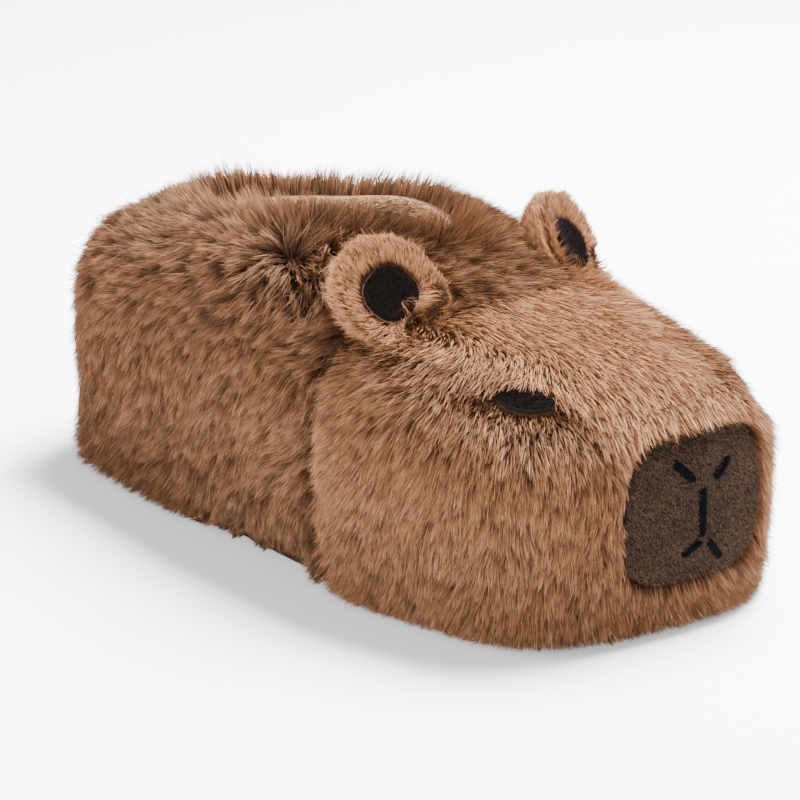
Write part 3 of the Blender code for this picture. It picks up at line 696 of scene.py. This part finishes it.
def scatter(grid, count, rng):
    """Roots spread evenly over a sleeve of quads."""
    after = np.roll(grid, -1, axis=1)
    a, b, c, d = grid[:-1], after[:-1], after[1:], grid[1:]
    area = np.linalg.norm(np.cross(c - a, d - b), axis=-1) / 2
    total = np.cumsum(area.ravel())
    picks = (np.arange(count) + rng.random(count)) / count * total[-1]
    cell = np.minimum(np.searchsorted(total, picks), total.size - 1)
    s, t = rng.random((2, count, 1))
    quad = [corner.reshape(-1, 3)[cell] for corner in (a, b, c, d)]
    return (quad[0] * (1 - s) + quad[1] * s) * (1 - t) + (quad[3] * (1 - s) + quad[2] * s) * t


def turned(combs, outs, turn):
    """Combs turned at random in the plane of the skin."""
    turn = turn[:, None]
    return combs * np.cos(turn) + np.cross(outs, combs) * np.sin(turn)


def along_skin(vectors, outs):
    return unit(vectors - outs * (vectors * outs).sum(axis=1, keepdims=True))


NEEDLE = ((0, 1, 2),)
RIBBON = ((0, 1, 3, 2), (2, 3, 4))


def hair_mesh(points, faces, heights, shade, start):
    """The same few faces for each hair. heights: place of each of its points from root to tip, from 0 to 1.

    start: how far along the colours of a strand the root of a hair is.
    """
    count, size = points.shape[:2]
    template = np.concatenate(faces)
    loops = len(template)
    starts = np.cumsum([0] + [len(face) for face in faces])[:-1]
    turn = np.arange(count)[:, None]
    data = bpy.data.meshes.new("hair")
    data.vertices.add(count * size)
    data.vertices.foreach_set("co", points.astype(np.float32).ravel())
    data.loops.add(count * loops)
    data.loops.foreach_set("vertex_index", (template + turn * size).astype(np.int32).ravel())
    data.polygons.add(count * len(faces))
    data.polygons.foreach_set("loop_start", (starts + turn * loops).astype(np.int32).ravel())
    data.update(calc_edges=True)
    uv = np.zeros((count, loops, 2), np.float32)
    uv[:, :, 0] = shade[:, None]
    start = np.broadcast_to(start, count)[:, None]
    uv[:, :, 1] = start + (1 - start) * np.array(heights)[template]
    data.uv_layers.new(name="UVMap").data.foreach_set("uv", uv.ravel())
    return data


def breadth(along, outs, width, roll, rng):
    """Half a hair's width, across it and turned about it at random."""
    along = unit(along)
    across = unit(np.cross(along, outs))
    spin = rng.normal(0, roll, len(along))[:, None]
    across = across * np.cos(spin) + np.cross(along, across) * np.sin(spin)
    return across * (0.5 * width * rng.uniform(0.7, 1.25, len(along)))[:, None]


def nearest(roots, hearts):
    """Number of the nearest tuft for each root."""
    tree = kdtree.KDTree(len(hearts))
    for number, heart in enumerate(hearts):
        tree.insert(heart, number)
    tree.balance()
    return np.array([tree.find(root)[1] for root in roots])


def groom(roots, outs, combs, lengths, rises, owners, pull, rng, stray=0.03):
    """Middles and tips of hairs that leave the skin at a slant, bend over along the comb and gather in tufts."""
    count = len(roots)
    low = (rises[:, 0] + rng.normal(0, 0.09, count))[:, None]
    high = rises[:, 1] + rng.normal(0, 0.09, count)
    loose = rng.random(count) < stray
    high[loose] += 0.35
    high = high[:, None]
    size = (lengths * rng.uniform(0.84, 1.10, count))[:, None]
    middle = roots + unit(outs * low + combs * (1 - low)) * 0.45 * size
    tips = middle + unit(outs * high + combs * (1 - high)) * 0.55 * size
    groups = owners.max() + 1
    members = np.maximum(np.bincount(owners, minlength=groups), 1)[:, None]
    strength = (pull * rng.uniform(0.4, 1.0, count) * ~loose)[:, None]
    for points, share in ((middle, 0.4), (tips, 1.0)):
        hearts = np.stack([np.bincount(owners, points[:, k], groups) for k in range(3)], axis=1) / members
        points += (hearts[owners] - points) * strength * share
    return middle, tips


def ribbons(roots, middles, tips, outs, width, shade, rng, start=0.0):
    half = breadth(tips - roots, outs, width, 0.7, rng)
    base = roots - outs * 0.0004
    points = np.stack([base - half, base + half, middles - half * 0.9, middles + half * 0.9, tips], axis=1)
    return hair_mesh(points, RIBBON, (0.0, 0.0, 0.45, 0.45, 1.0), shade, start)


def needles(roots, tips, outs, width, shade, rng, start=0.0, top=1.0):
    half = breadth(tips - roots, outs, width, 1.0, rng)
    points = np.stack([roots - half, roots + half, tips], axis=1)
    return hair_mesh(points, NEEDLE, (0.0, 0.0, top), shade, start)


def nap(roots, outs, combs, length, rise, width, seed):
    """Short straight hairs of a velvety pile."""
    rng = np.random.default_rng(seed)
    count = len(roots)
    lean = turned(combs, outs, rng.normal(0, 0.5, count))
    steep = np.clip(rise + rng.normal(0, 0.15, count), 0.1, 1.0)[:, None]
    tips = roots + unit(outs * steep + lean * (1 - steep)) * (length * rng.uniform(0.7, 1.2, count))[:, None]
    return needles(roots, tips, outs, width, rng.random(count), rng)


def lay_of_pile(points, outs, on_head):
    """Way the hair lies, drawn from the places in LAY on the same lobe."""
    rows = np.array(LAY) * LAY_UNITS
    low_right = (rows[:, 1] < -0.03) & (rows[:, 2] < 0.1)
    rows = np.concatenate([rows, rows[low_right] * (1, -1, 1, 1, -1, 1), np.array(FAR_RIM_LAY) * LAY_UNITS])
    head_value, body_value = lobes(rows[:, :3])
    square = (points ** 2).sum(axis=1)[:, None] + (rows[:, :3] ** 2).sum(axis=1) - 2 * points @ rows[:, :3].T
    weight = 1 / (np.maximum(square, 0.0) + 0.009 ** 2) ** 2
    weight *= on_head[:, None] == (head_value < body_value)
    back = ease(-0.09, -0.12, points[:, 0])[:, None]
    fallback = np.array([0.0, 0.0, -1.0]) + back * np.array([-0.1, 0.0, -0.5])
    comb = weight @ rows[:, 3:] + fallback / (0.028 ** 2 + 0.006 ** 2) ** 2 * (1 + 2 * back)
    return along_skin(comb, outs)


def regions(points):
    """Shares from 0 to 1 of the head, the forehead, the crease behind the cheeks and the body's side of it."""
    head_value, body_value = lobes(points)
    ahead = body_value - head_value
    head = ease(-0.02, 0.02, ahead)
    x, y, z = points.T
    turned_y = y - 0.0065 * ease(HEAD_BACK, NOSE, x)
    side = np.where(y < 0, -1.0, 1.0)
    half = np.interp(x + 0.004 * side * ease(0.06, 0.13, x), SEAM_X, SEAM_HALF)
    forehead = head * ease(0.0015, -0.0015, np.abs(turned_y) - half) * ease(0.052, 0.062, z)
    below = ease(0.100, 0.085, z)
    crease = np.exp(-(ahead / 0.05) ** 2) * below
    groove = ease(-0.20, -0.05, ahead) * (ahead < 0.012) * below
    return head, forehead, crease, groove, turned_y


def beside_eyes(points):
    """Distance from the nearer eye, in shares of its half size, and whether a point lies above it."""
    nearer = np.full(len(points), 9.0)
    above = np.zeros(len(points), bool)
    for side in (-1, 1):
        place, along, level, normal = eye_axes(side)
        offset = points - place
        reach = np.hypot(offset @ along / (EYE_LENGTH / 2), offset @ level / (EYE_WIDTH / 2))
        reach[np.abs(offset @ normal) > 0.02] = 9.0
        above = np.where(reach < nearer, (offset @ level) * math.copysign(1.0, level[2]) > 0, above)
        nearer = np.minimum(nearer, reach)
    return nearer, above


def blend(head, forehead, body, cheek, brow):
    """A value that differs on the body, the cheeks and the forehead."""
    return body * (1 - head) + head * (cheek * (1 - forehead) + brow * forehead)


def both(weight, low, high):
    """Change in steepness of the lower and the upper half of each hair."""
    return weight[:, None] * np.array([low, high])


def grow_pile(grid, ears, material, density, rng):
    """Long pile of the body and the head: bent guard hairs over straight needles, in tufts."""
    hearts = scatter(grid, int(TUFTS * density ** 0.5), rng)
    head, forehead, *_ = regions(hearts)
    keep = rng.random(len(hearts)) < blend(head, forehead, 0.36, 0.95, 0.45)
    hearts, head, forehead = hearts[keep], head[keep], forehead[keep]
    heart_outs = normals(upper_form, hearts)
    heart_combs = lay_of_pile(hearts, heart_outs, head > 0.5)
    wild = 1 - 0.55 * head - 0.25 * forehead
    turn = 0.30 * waves(hearts, 0.020, 3) + 0.30 * waves(hearts, 0.008, 4) + rng.normal(0, 0.22, len(hearts))
    heart_combs = turned(heart_combs, heart_outs, wild * turn)
    heart_shade = rng.normal(0, 0.17, len(hearts))
    heart_size = 1 + rng.normal(0, 0.10, len(hearts)) * wild

    roots = scatter(grid, int(HAIRS * density), rng)
    across_share, up_share = nose_shares(roots)
    outs = normals(upper_form, roots)
    facing = outs @ muzzle_axes()[1]
    nose_reach = np.abs(across_share) ** 4.5 + np.abs(up_share) ** 4.5
    nose = (nose_reach < 0.93) & (facing > 0.2)
    eye_reach, above_eye = beside_eyes(roots)
    ear_gap = np.min([ear_cup(roots, ear) for ear in ears.values()], axis=0)
    keep = ~(nose | (eye_reach < 1.0) | (ear_gap < -0.08))
    roots, outs, nose_reach, up_share, facing, eye_reach, above_eye, ear_gap = (
        values[keep] for values in (roots, outs, nose_reach, up_share, facing, eye_reach, above_eye, ear_gap))
    owners = nearest(roots, hearts)
    head, forehead, crease, groove, turned_y = regions(roots)
    x, y, z = roots.T

    combs = turned(along_skin(heart_combs[owners], outs), outs, rng.normal(0, 0.13, len(roots)))
    lengths = blend(head, forehead, BODY_HAIR, CHEEK_HAIR, FOREHEAD_HAIR)
    pits = ease(0.35, 1.3, waves(roots, 0.0065, 9, 9))
    lengths *= (1 - pits * (0.50 - 0.25 * head - 0.10 * forehead)) * heart_size[owners]
    rises = np.stack([0.60 - 0.05 * head - 0.08 * forehead, 0.28 - 0.05 * head - 0.08 * forehead], axis=1)

    round_collar = np.hypot((x - COLLAR_CENTRE) / (COLLAR_LENGTH / 2 + COLLAR_LIP),
                            y / (COLLAR_WIDTH / 2 + COLLAR_LIP))
    rim = np.exp(-np.maximum(round_collar - 1, 0) / 0.12) * (z > 0.085)
    rises += both(rim, 0.35, 0.45)
    near_rim = rim * ease(0.014, 0.008, y)
    lengths *= 1 + 0.12 * rim + near_rim * (0.45 + 0.45 * ease(-0.04, 0.0, x))
    rises += both(near_rim * ease(-0.03, 0.0, x), 0.15, 0.15)
    lengths = np.minimum(lengths, PILE_TOP - z)
    rises += both(crease * head, 0.18, 0.18)
    lengths *= 1 - 0.72 * groove
    by_ear = np.exp(-np.maximum(ear_gap, 0) / 0.22)
    rises += both(by_ear, 0.25, 0.30)
    by_eye = ease(3.0, 1.0, eye_reach)
    lengths *= 1 - by_eye * np.where(above_eye, 0.05, 0.55)
    rises[:, 0] += by_eye * 0.3 * above_eye
    from_nose = nose_reach ** (1 / 4.5) - 0.98
    by_nose = ease(0.34, 0.03, from_nose) * ease(0.1, 0.4, facing)
    over_nose = by_nose * ease(0.6, 0.9, up_share)
    proud = 0.0022 * by_nose + 0.0020 * over_nose
    rises[:, 0] += 0.18 * by_nose
    lengths *= 1 - 0.12 * by_nose + 0.25 * over_nose
    sole_shown = ease(-0.070, 0.010, x) * ease(0.032, 0.020, x)
    low = ease(0.034, 0.008, z) * (1 - sole_shown)
    rises += both(low, 0.10, 0.30)
    far_cheek = head * ease(0.02, 0.045, y)
    rises[:, 1] += 0.12 * far_cheek
    lengths *= 1 + 0.15 * far_cheek
    parting = np.exp(-((roots - np.array(PARTING)) ** 2).sum(axis=1) / PARTING_REACH ** 2)
    rises += both(parting, 0.22, 0.22)

    floor = FLOOR_GAP + SOLE_LINE * sole_shown * (1 + 0.5 * waves(roots, 0.010, 44))
    lengths *= 1 - 0.55 * sole_shown * ease(0.026, 0.008, z)
    rises -= both(sole_shown * ease(0.030, 0.010, z), 0.20, 0.20)
    lengths = np.minimum(lengths, 0.008 + np.maximum(z - floor, 0) * 1.2)
    pull = blend(head, forehead, 0.62, 0.52, 0.50)
    guard = rng.random(len(roots)) < 0.25
    lengths *= np.where(guard, 1.0, 0.86)
    roots = roots + outs * proud[:, None]
    middles, tips = groom(roots, outs, combs, lengths, rises, owners, pull, rng)
    tips[:, 2] = np.maximum(tips[:, 2], floor + 0.0012 * rng.random(len(roots)))
    middles[:, 2] = np.maximum(middles[:, 2], floor)
    # The forehead's hair is paler: partly its paler tan, partly painted light on this upward face, where the light
    # from above falls.
    pale = blend(head, forehead, 0.28, 0.41, 0.67) + 0.20 * rim * (y > 0)
    # The last term paints hair low on the sides darker towards the floor: painted shade where less light reaches.
    pale += 0.6 * heart_shade[owners] + rng.normal(0, 0.10, len(roots)) - 0.16 * ease(0.055, 0.010, z)
    # Hair high on the body, round the collar, is painted darker: painted shade that tones down the light falling on
    # the top.
    pale -= 0.08 * (1 - head) * ease(0.075, 0.095, z)
    # In the groove behind the cheeks the hair is painted darker: painted shade in the crease.
    # In the pits, where the hair is shorter, it is painted darker too: painted shade in the dips of the pile.
    shade = np.clip(pale - 0.20 * pits - 0.45 * groove + 0.10 * parting, 0.0, 1.0)
    # At the collar rim, the forehead and the parting the roots start further along the colours, so less of the
    # painted root shade shows there.
    start = np.clip(0.45 * rim + 0.16 * forehead + 0.2 * parting, 0.0, 0.6)

    parts = {
        "heel_right": (head < 0.5) & (y < 0),
        "heel_left": (head < 0.5) & (y >= 0),
        "cheek_right": (head >= 0.5) & (forehead < 0.5) & (turned_y < 0),
        "cheek_left": (head >= 0.5) & (forehead < 0.5) & (turned_y >= 0),
        "forehead": (head >= 0.5) & (forehead >= 0.5),
    }
    for part, mask in parts.items():
        at = mask & guard
        data = ribbons(roots[at], middles[at], tips[at], outs[at], HAIR_WIDTH, shade[at], rng, start[at])
        link("pile_" + part, data, material, "fur")
        at = mask & ~guard
        data = needles(roots[at], tips[at], outs[at], HAIR_WIDTH, shade[at], rng, start[at], 0.9)
        link("underfur_" + part, data, material, "fur")


def main():
    rng = np.random.default_rng(11)
    density = 1.0
    # Long pile colour from root to tip: the darkening to near black towards the root is painted shade deep in the
    # pile, between the tufts; the tan towards the tip is the fur's own colour.
    tan = ((0.0, (0.010, 0.0033, 0.0014)), (0.35, (0.044, 0.0173, 0.0078)), (0.75, (0.142, 0.0635, 0.029)),
           (1.0, (0.265, 0.134, 0.067)))
    fur = strand_material("fur_strands", tan, (0.35, 2.25), 0.08, 0.6)
    fur_skin = cloth_material("fur_backing_cloth", (0.030, 0.012, 0.0055), (0.060, 0.026, 0.012), 400.0, 0.5)
    fleece = cloth_material("fleece_nap", (0.16, 0.080, 0.036), (0.27, 0.148, 0.073), 900.0, 0.7)
    fleece_hair = strand_material("fleece_hair", ((0.0, (0.11, 0.052, 0.022)), (1.0, (0.30, 0.165, 0.082))),
                                  (0.70, 1.30), 0.05, patch=(0.75, 1.25), patch_scale=60.0)
    textile = weave_material("sole_textile", (0.009, 0.010, 0.012), (0.036, 0.039, 0.043), 0.0011)
    nose_cloth = cloth_material("nose_short_pile", (0.004, 0.0022, 0.0014), (0.014, 0.0085, 0.006), 1400.0, 0.8)
    nose_hair = strand_material("nose_hair", ((0.0, (0.0022, 0.0012, 0.0008)), (0.6, (0.014, 0.0082, 0.0056)),
                                              (1.0, (0.145, 0.090, 0.062))), (0.15, 1.75), 0.04,
                                patch=(0.6, 1.4), patch_scale=110.0)
    black = cloth_material("black_nap", (0.0010, 0.0007, 0.0007), (0.004, 0.0028, 0.0028), 1500.0, 0.7)
    black_hair = strand_material("black_hair", ((0.0, (0.0008, 0.0006, 0.0006)), (1.0, (0.016, 0.011, 0.0105))),
                                 (0.4, 1.6), 0.05)
    thread, tree, shader = new_material("satin_thread", 0.6, 0.01)
    stops = ((0.3, (0.0004, 0.0005, 0.0006)), (0.7, (0.0014, 0.0017, 0.0022)))
    colour = ramp(tree, place_noise(tree, 900.0), stops)
    tree.links.new(colour, shader.inputs["Base Color"])
    seam_tan = cloth_material("seam_edge", (0.055, 0.028, 0.015), (0.11, 0.060, 0.034), 900.0, 0.4)

    # Skin of the padded upper, and its lining
    columns = 200
    centre = np.array([-0.055 * LENGTH, 0.0, 0.5 * HEEL_HEIGHT])
    x, y = collar_ring(columns, COLLAR_LIP)
    top = roof(upper_form, x, y)
    bottom = outline(upper_form, columns, SKIRT_HEIGHT)
    skin = wall_paths(upper_form, centre, top, bottom, 60)
    lip = []
    for angle in np.linspace(0, math.pi / 2, 6)[1:]:
        x, y = collar_ring(columns, COLLAR_LIP * (1 - math.sin(angle)))
        points = roof(upper_form, x, y)
        points[:, 2] -= COLLAR_LIP * (1 - math.cos(angle))
        lip.append(points)
    wall = outline(sole_form, columns, 0.0, CLEARANCE)
    seat = outline(last_form, columns, SEAT)
    rings = [lip[0], *skin, lifted(wall, SKIRT_HEIGHT), lifted(wall, SEAT), lifted(seat, SEAT)]
    link("fur_backing", sleeve(rings), fur_skin, "fur", "upper")

    x, y = collar_ring(columns, 0.5 * COLLAR_LIP)
    throat = roof(last_form, x, y)
    inner = wall_paths(last_form, centre, throat, seat, 40)
    inner[-1] = lifted(inner[-1], SEAT)
    link("fleece_lining", sleeve([*lip, *inner]), fleece, "fleece")

    inside = np.stack([*lip, *inner[:16]])
    roots = scatter(inside, int(LINING_HAIRS * density), rng)
    hub = np.array([COLLAR_CENTRE, 0.0, 0.06])
    outs = unit(hub - roots)
    lip_share = ease(0.088, 0.1, roots[:, 2])[:, None]
    outs = unit(outs * (1 - lip_share) + (outs + np.array([0, 0, 1.2])) * lip_share)
    combs = along_skin(np.array([0.2, 0.0, -1.0]), outs)
    data = nap(roots, outs, combs, 0.0026, 0.5, 0.00035, 21)
    link("fleece_lining_nap", data, fleece_hair, "fleece")

    # Long pile of the body and the head
    ears = {side: ear_frame(side) for side in (-1, 1)}
    grow_pile(wall_paths(upper_form, centre, top, bottom, 160), ears, fur, density, rng)

    # Ears
    for word, side in (("left", 1), ("right", -1)):
        ear = ears[side]
        foot, ear_across, up, face = ear
        heart = foot + up * 0.5 * EAR_LENGTH - face * 0.56 * EAR_DEPTH
        tilts = np.radians((12, 24, 36, 46, 54, 60, 64, 68, 72, 76, 80, 86, 94, 104, 116, 130, 145, 160, 172))
        headings = np.array([around(face * math.cos(tilt), ear_across, up, math.sin(tilt), 48) for tilt in tilts])
        form = partial(ear_form, ear=ear)
        grid = cast(form, heart, headings, reach=2 * EAR_LENGTH)
        poles = cast(form, heart, np.array([face, -face]), reach=2 * EAR_LENGTH)
        data = capped(poles[0], grid, poles[1])
        link("ear_skin_" + word, data, fur_skin, "fur", "ear_" + word)

        ear_roots = scatter(grid, int(EAR_HAIRS * density), rng)
        ear_outs = normals(form, ear_roots)
        offset = ear_roots - foot
        wide = offset @ ear_across
        tall = offset @ up - INNER_EAR_MIDDLE
        on_front = np.abs(ear_hollow(ear_roots, ear)) < 0.0006
        dark = on_front & ((np.abs(wide) / (INNER_EAR_WIDTH / 2)) ** 2.35
                           + (np.abs(tall) / (INNER_EAR_LENGTH / 2)) ** 2.35 < 1.0)
        seated = gap_to(upper_form, ear_roots) < 0.001
        good = ~(dark | seated)
        ear_roots, ear_outs, on_front = ear_roots[good], ear_outs[good], on_front[good]
        radial = ear_across * wide[good][:, None] + up * (tall[good] + 0.004)[:, None]
        combs = along_skin(unit(radial) + up * 0.15, ear_outs)
        count = len(ear_roots)
        right_of = unit(radial) @ np.array([math.cos(EAR_FOLD_WAY), math.sin(EAR_FOLD_WAY), 0.0])
        # Fur at the fold of the cup lies over the dark patch
        sector = right_of * 0.75 - unit(radial)[:, 2] * 0.65
        folded = on_front * ease(0.35, 0.65, sector)
        combs = along_skin(combs * (1 - 2 * folded)[:, None] + up * 0.2, ear_outs)
        sizes = np.where(on_front, EAR_FRONT_HAIR, EAR_BACK_HAIR) * (1 + 0.25 * waves(ear_roots, 0.006, 15))
        sizes *= 1 - 0.40 * ease(0.2, 0.8, right_of) * (1 - folded) + 0.20 * folded
        rises = np.stack([np.where(on_front, 0.40, 0.5), np.where(on_front, 0.15, 0.25)], axis=1)
        tufts = ear_roots[rng.random(count) < 0.04]
        owners = nearest(ear_roots, tufts)
        middles, tips = groom(ear_roots, ear_outs, combs, sizes, rises, owners, 0.45, rng, 0.10)
        shade = np.clip(0.78 + rng.normal(0, 0.07, len(tufts))[owners] + rng.normal(0, 0.08, count), 0.0, 1.0)
        guard = rng.random(count) < 0.5
        data = ribbons(ear_roots[guard], middles[guard], tips[guard], ear_outs[guard], 0.00032, shade[guard], rng)
        link("ear_pile_" + word, data, fur, "fur")
        guard = ~guard
        data = needles(ear_roots[guard], tips[guard], ear_outs[guard], 0.00034, shade[guard], rng)
        link("ear_underfur_" + word, data, fur, "fur")

        hollow = partial(ear_hollow, ear=ear)
        middle = foot + up * INNER_EAR_MIDDLE - face * EAR_DEPTH
        wide, tall = rounded_box(48, 0.85, 0.85)
        swell, rise = wide * INNER_EAR_WIDTH / 2, tall * INNER_EAR_LENGTH / 2
        rim = middle + ear_across * swell[:, None] + up * rise[:, None]
        napped_patch("inner_ear_{}_" + word, "inner_ear_" + word, "felt", black, black_hair, hollow, rim, middle,
                     face, 2 * CLEARANCE, INNER_EAR_THICKNESS, (0.02, 1.0, 24), int(8000 * density), up,
                     (0.0022, 0.45), 70 + side, rng)
        edge = patch_rings(hollow, rim, middle, face, (1.045,), (0.0012,))[0]
        seam("inner_ear_seam_" + word, edge, THREAD_RADIUS, seam_tan, "fur")

    # Nose patch
    wide, tall = rounded_box(96, 0.55, 0.60)
    narrowing = 1.0 - 0.10 * np.maximum(tall, 0.0)
    rim = np.array([nose_point(w * n, t) for w, t, n in zip(wide, tall, narrowing)])
    middle = nose_point(0.0, 0.0)
    napped_patch("nose_{}", "nose", "dark_fur", nose_cloth, nose_hair, upper_form, rim, middle, muzzle_axes()[1],
                 NOSE_LIFT, NOSE_THICKNESS, (0.01, 0.985, 40), int(50000 * density), (0.0, 0.0, -1.0),
                 (0.0021, 0.5), 80, rng, steps=12)

    # Satin-stitched marks
    stitches = {
        "nostril_left": ((0.43, 0.50), (0.285, 0.345)),
        "nostril_right": ((-0.30, 0.59), (-0.075, 0.395)),
        "philtrum": ((0.085, 0.20), (0.10, -0.395)),
        "mouth_left": ((0.215, -0.57), (0.36, -0.78)),
        "mouth_right": ((0.05, -0.54), (-0.145, -0.65)),
    }
    for name, (start_share, end_share) in stitches.items():
        satin("satin_" + name, nose_point(*start_share), nose_point(*end_share), thread, name)

    # Eyes
    for word, side in (("left", 1), ("right", -1)):
        place, along, level, normal = eye_axes(side)
        wide, tall = rounded_box(64, 1.1, 1.25)
        reach, swell = wide * EYE_LENGTH / 2, tall * EYE_WIDTH / 2
        rim = place + along * reach[:, None] + level * swell[:, None] - normal * EYE_LENGTH
        middle = place - normal * EYE_LENGTH
        napped_patch("eye_{}_" + word, "eye_" + word, "felt", black, black_hair, upper_form, rim, middle, normal,
                     CLEARANCE, EYE_THICKNESS, (0.02, 1.0, 16), int(4000 * density), along, (0.0013, 0.4),
                     90 + side, rng)

    # Nodes that stay
    for name, material in (("outsole", textile), ("insole", fleece)):
        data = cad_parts[name].data
        data.materials.clear()
        data.materials.append(material)

    stage_and_lights()


def seam(name, path, radius, material, slot):
    """Thin cord along a closed path of points."""
    along = unit(np.roll(path, -1, axis=0) - np.roll(path, 1, axis=0))
    across = unit(np.cross(along, unit(path - path.mean(axis=0))))
    above = np.cross(across, along)
    rings = [around(*place, radius, 8) for place in zip(path, across, above)]
    return link(name, sleeve(rings, closed=True), material, slot)


def satin(name, start, end, material, node):
    """Bar of threads laid side by side across its length."""
    out = muzzle_axes()[1]
    along = unit(end - start)
    level = np.cross(along, out)
    length = np.linalg.norm(end - start) + STITCH_WIDTH * 0.5
    first = (start + end) / 2 - along * length / 2
    count = int(length / THREAD_PITCH)
    lift = NOSE_LIFT + NOSE_THICKNESS + CLEARANCE
    mesh = bmesh.new()
    rng = np.random.default_rng(len(name))
    for row in range(count + 1):
        share = row / count
        taper = math.sqrt(max(0.0, 1 - (2 * share - 1) ** 8))
        half = STITCH_WIDTH / 2 * (0.5 + 0.5 * taper) * rng.uniform(0.93, 1.07)
        slant = 0.00035
        spots = np.linspace(-1, 1, 9)
        line = np.array([first + along * (length * share + slant * spot) + level * half * spot for spot in spots])
        skin = cast(upper_form, line, np.broadcast_to(out, line.shape))
        outs = normals(upper_form, skin)
        height = lift + (STITCH_THICKNESS + 0.0006) * np.sqrt(np.maximum(1 - spots ** 2, 0.0)) - 0.0002
        path = skin + outs * height[:, None]
        rings = []
        for i, point in enumerate(path):
            ahead = unit(path[min(i + 1, 8)] - path[max(i - 1, 0)])
            beside = unit(np.cross(ahead, outs[i]))
            above = np.cross(beside, ahead)
            rings.append(add_ring(mesh, around(point, beside, above, THREAD_RADIUS, 6)))
        bridge_all(mesh, rings)
        mesh.faces.new(rings[0])
        mesh.faces.new(reversed(rings[-1]))
    return link(name, to_mesh(mesh), material, "thread", node)


def stage_and_lights():
    mesh = bmesh.new()
    for corner in ((-6, -6), (6, -6), (6, 6), (-6, 6)):
        mesh.verts.new((*corner, 0.0))
    mesh.faces.new(mesh.verts)
    data = bpy.data.meshes.new("floor")
    mesh.to_mesh(data)
    mesh.free()
    pale, _, shader = new_material("pale_floor", 0.8)
    shader.inputs["Base Color"].default_value = (0.95, 0.95, 0.955, 1)
    data.materials.append(pale)
    show("floor", data)

    world = bpy.data.worlds.new("studio")
    bpy.context.scene.world = world
    world.use_nodes = True
    backdrop = world.node_tree.nodes["Background"]
    backdrop.inputs["Color"].default_value = (0.96, 0.97, 1.0, 1)
    backdrop.inputs["Strength"].default_value = 0.5

    for name, place, aim, size, power in (
        ("softbox_top", (0.02, 0.70, 1.40), (0.0, 0.0, 0.03), 0.8, 275.0),
        ("softbox_front", (1.0, -1.25, 0.38), (0.05, 0.0, 0.05), 0.9, 64.0),
        ("softbox_left", (-1.1, -1.2, 0.38), (0.0, 0.0, 0.05), 0.8, 32.0),
    ):
        lamp = bpy.data.lights.new(name, "AREA")
        lamp.energy = power
        lamp.size = size
        item = show(name, lamp)
        item.location = place
        item.rotation_euler = (Vector(aim) - Vector(place)).to_track_quat("-Z", "Y").to_euler()

    lens = bpy.data.cameras.new("camera")
    lens.lens = LENS
    lens.sensor_width = 36.0
    camera = show("camera", lens)
    heading = Vector((math.sin(AZIMUTH) * math.cos(ELEVATION), -math.cos(AZIMUTH) * math.cos(ELEVATION),
                      math.sin(ELEVATION)))
    camera.location = FIT_ORIGIN + heading * DISTANCE
    camera.rotation_euler = (AIM - camera.location).to_track_quat("-Z", "Y").to_euler()
    bpy.context.scene.camera = camera


main()
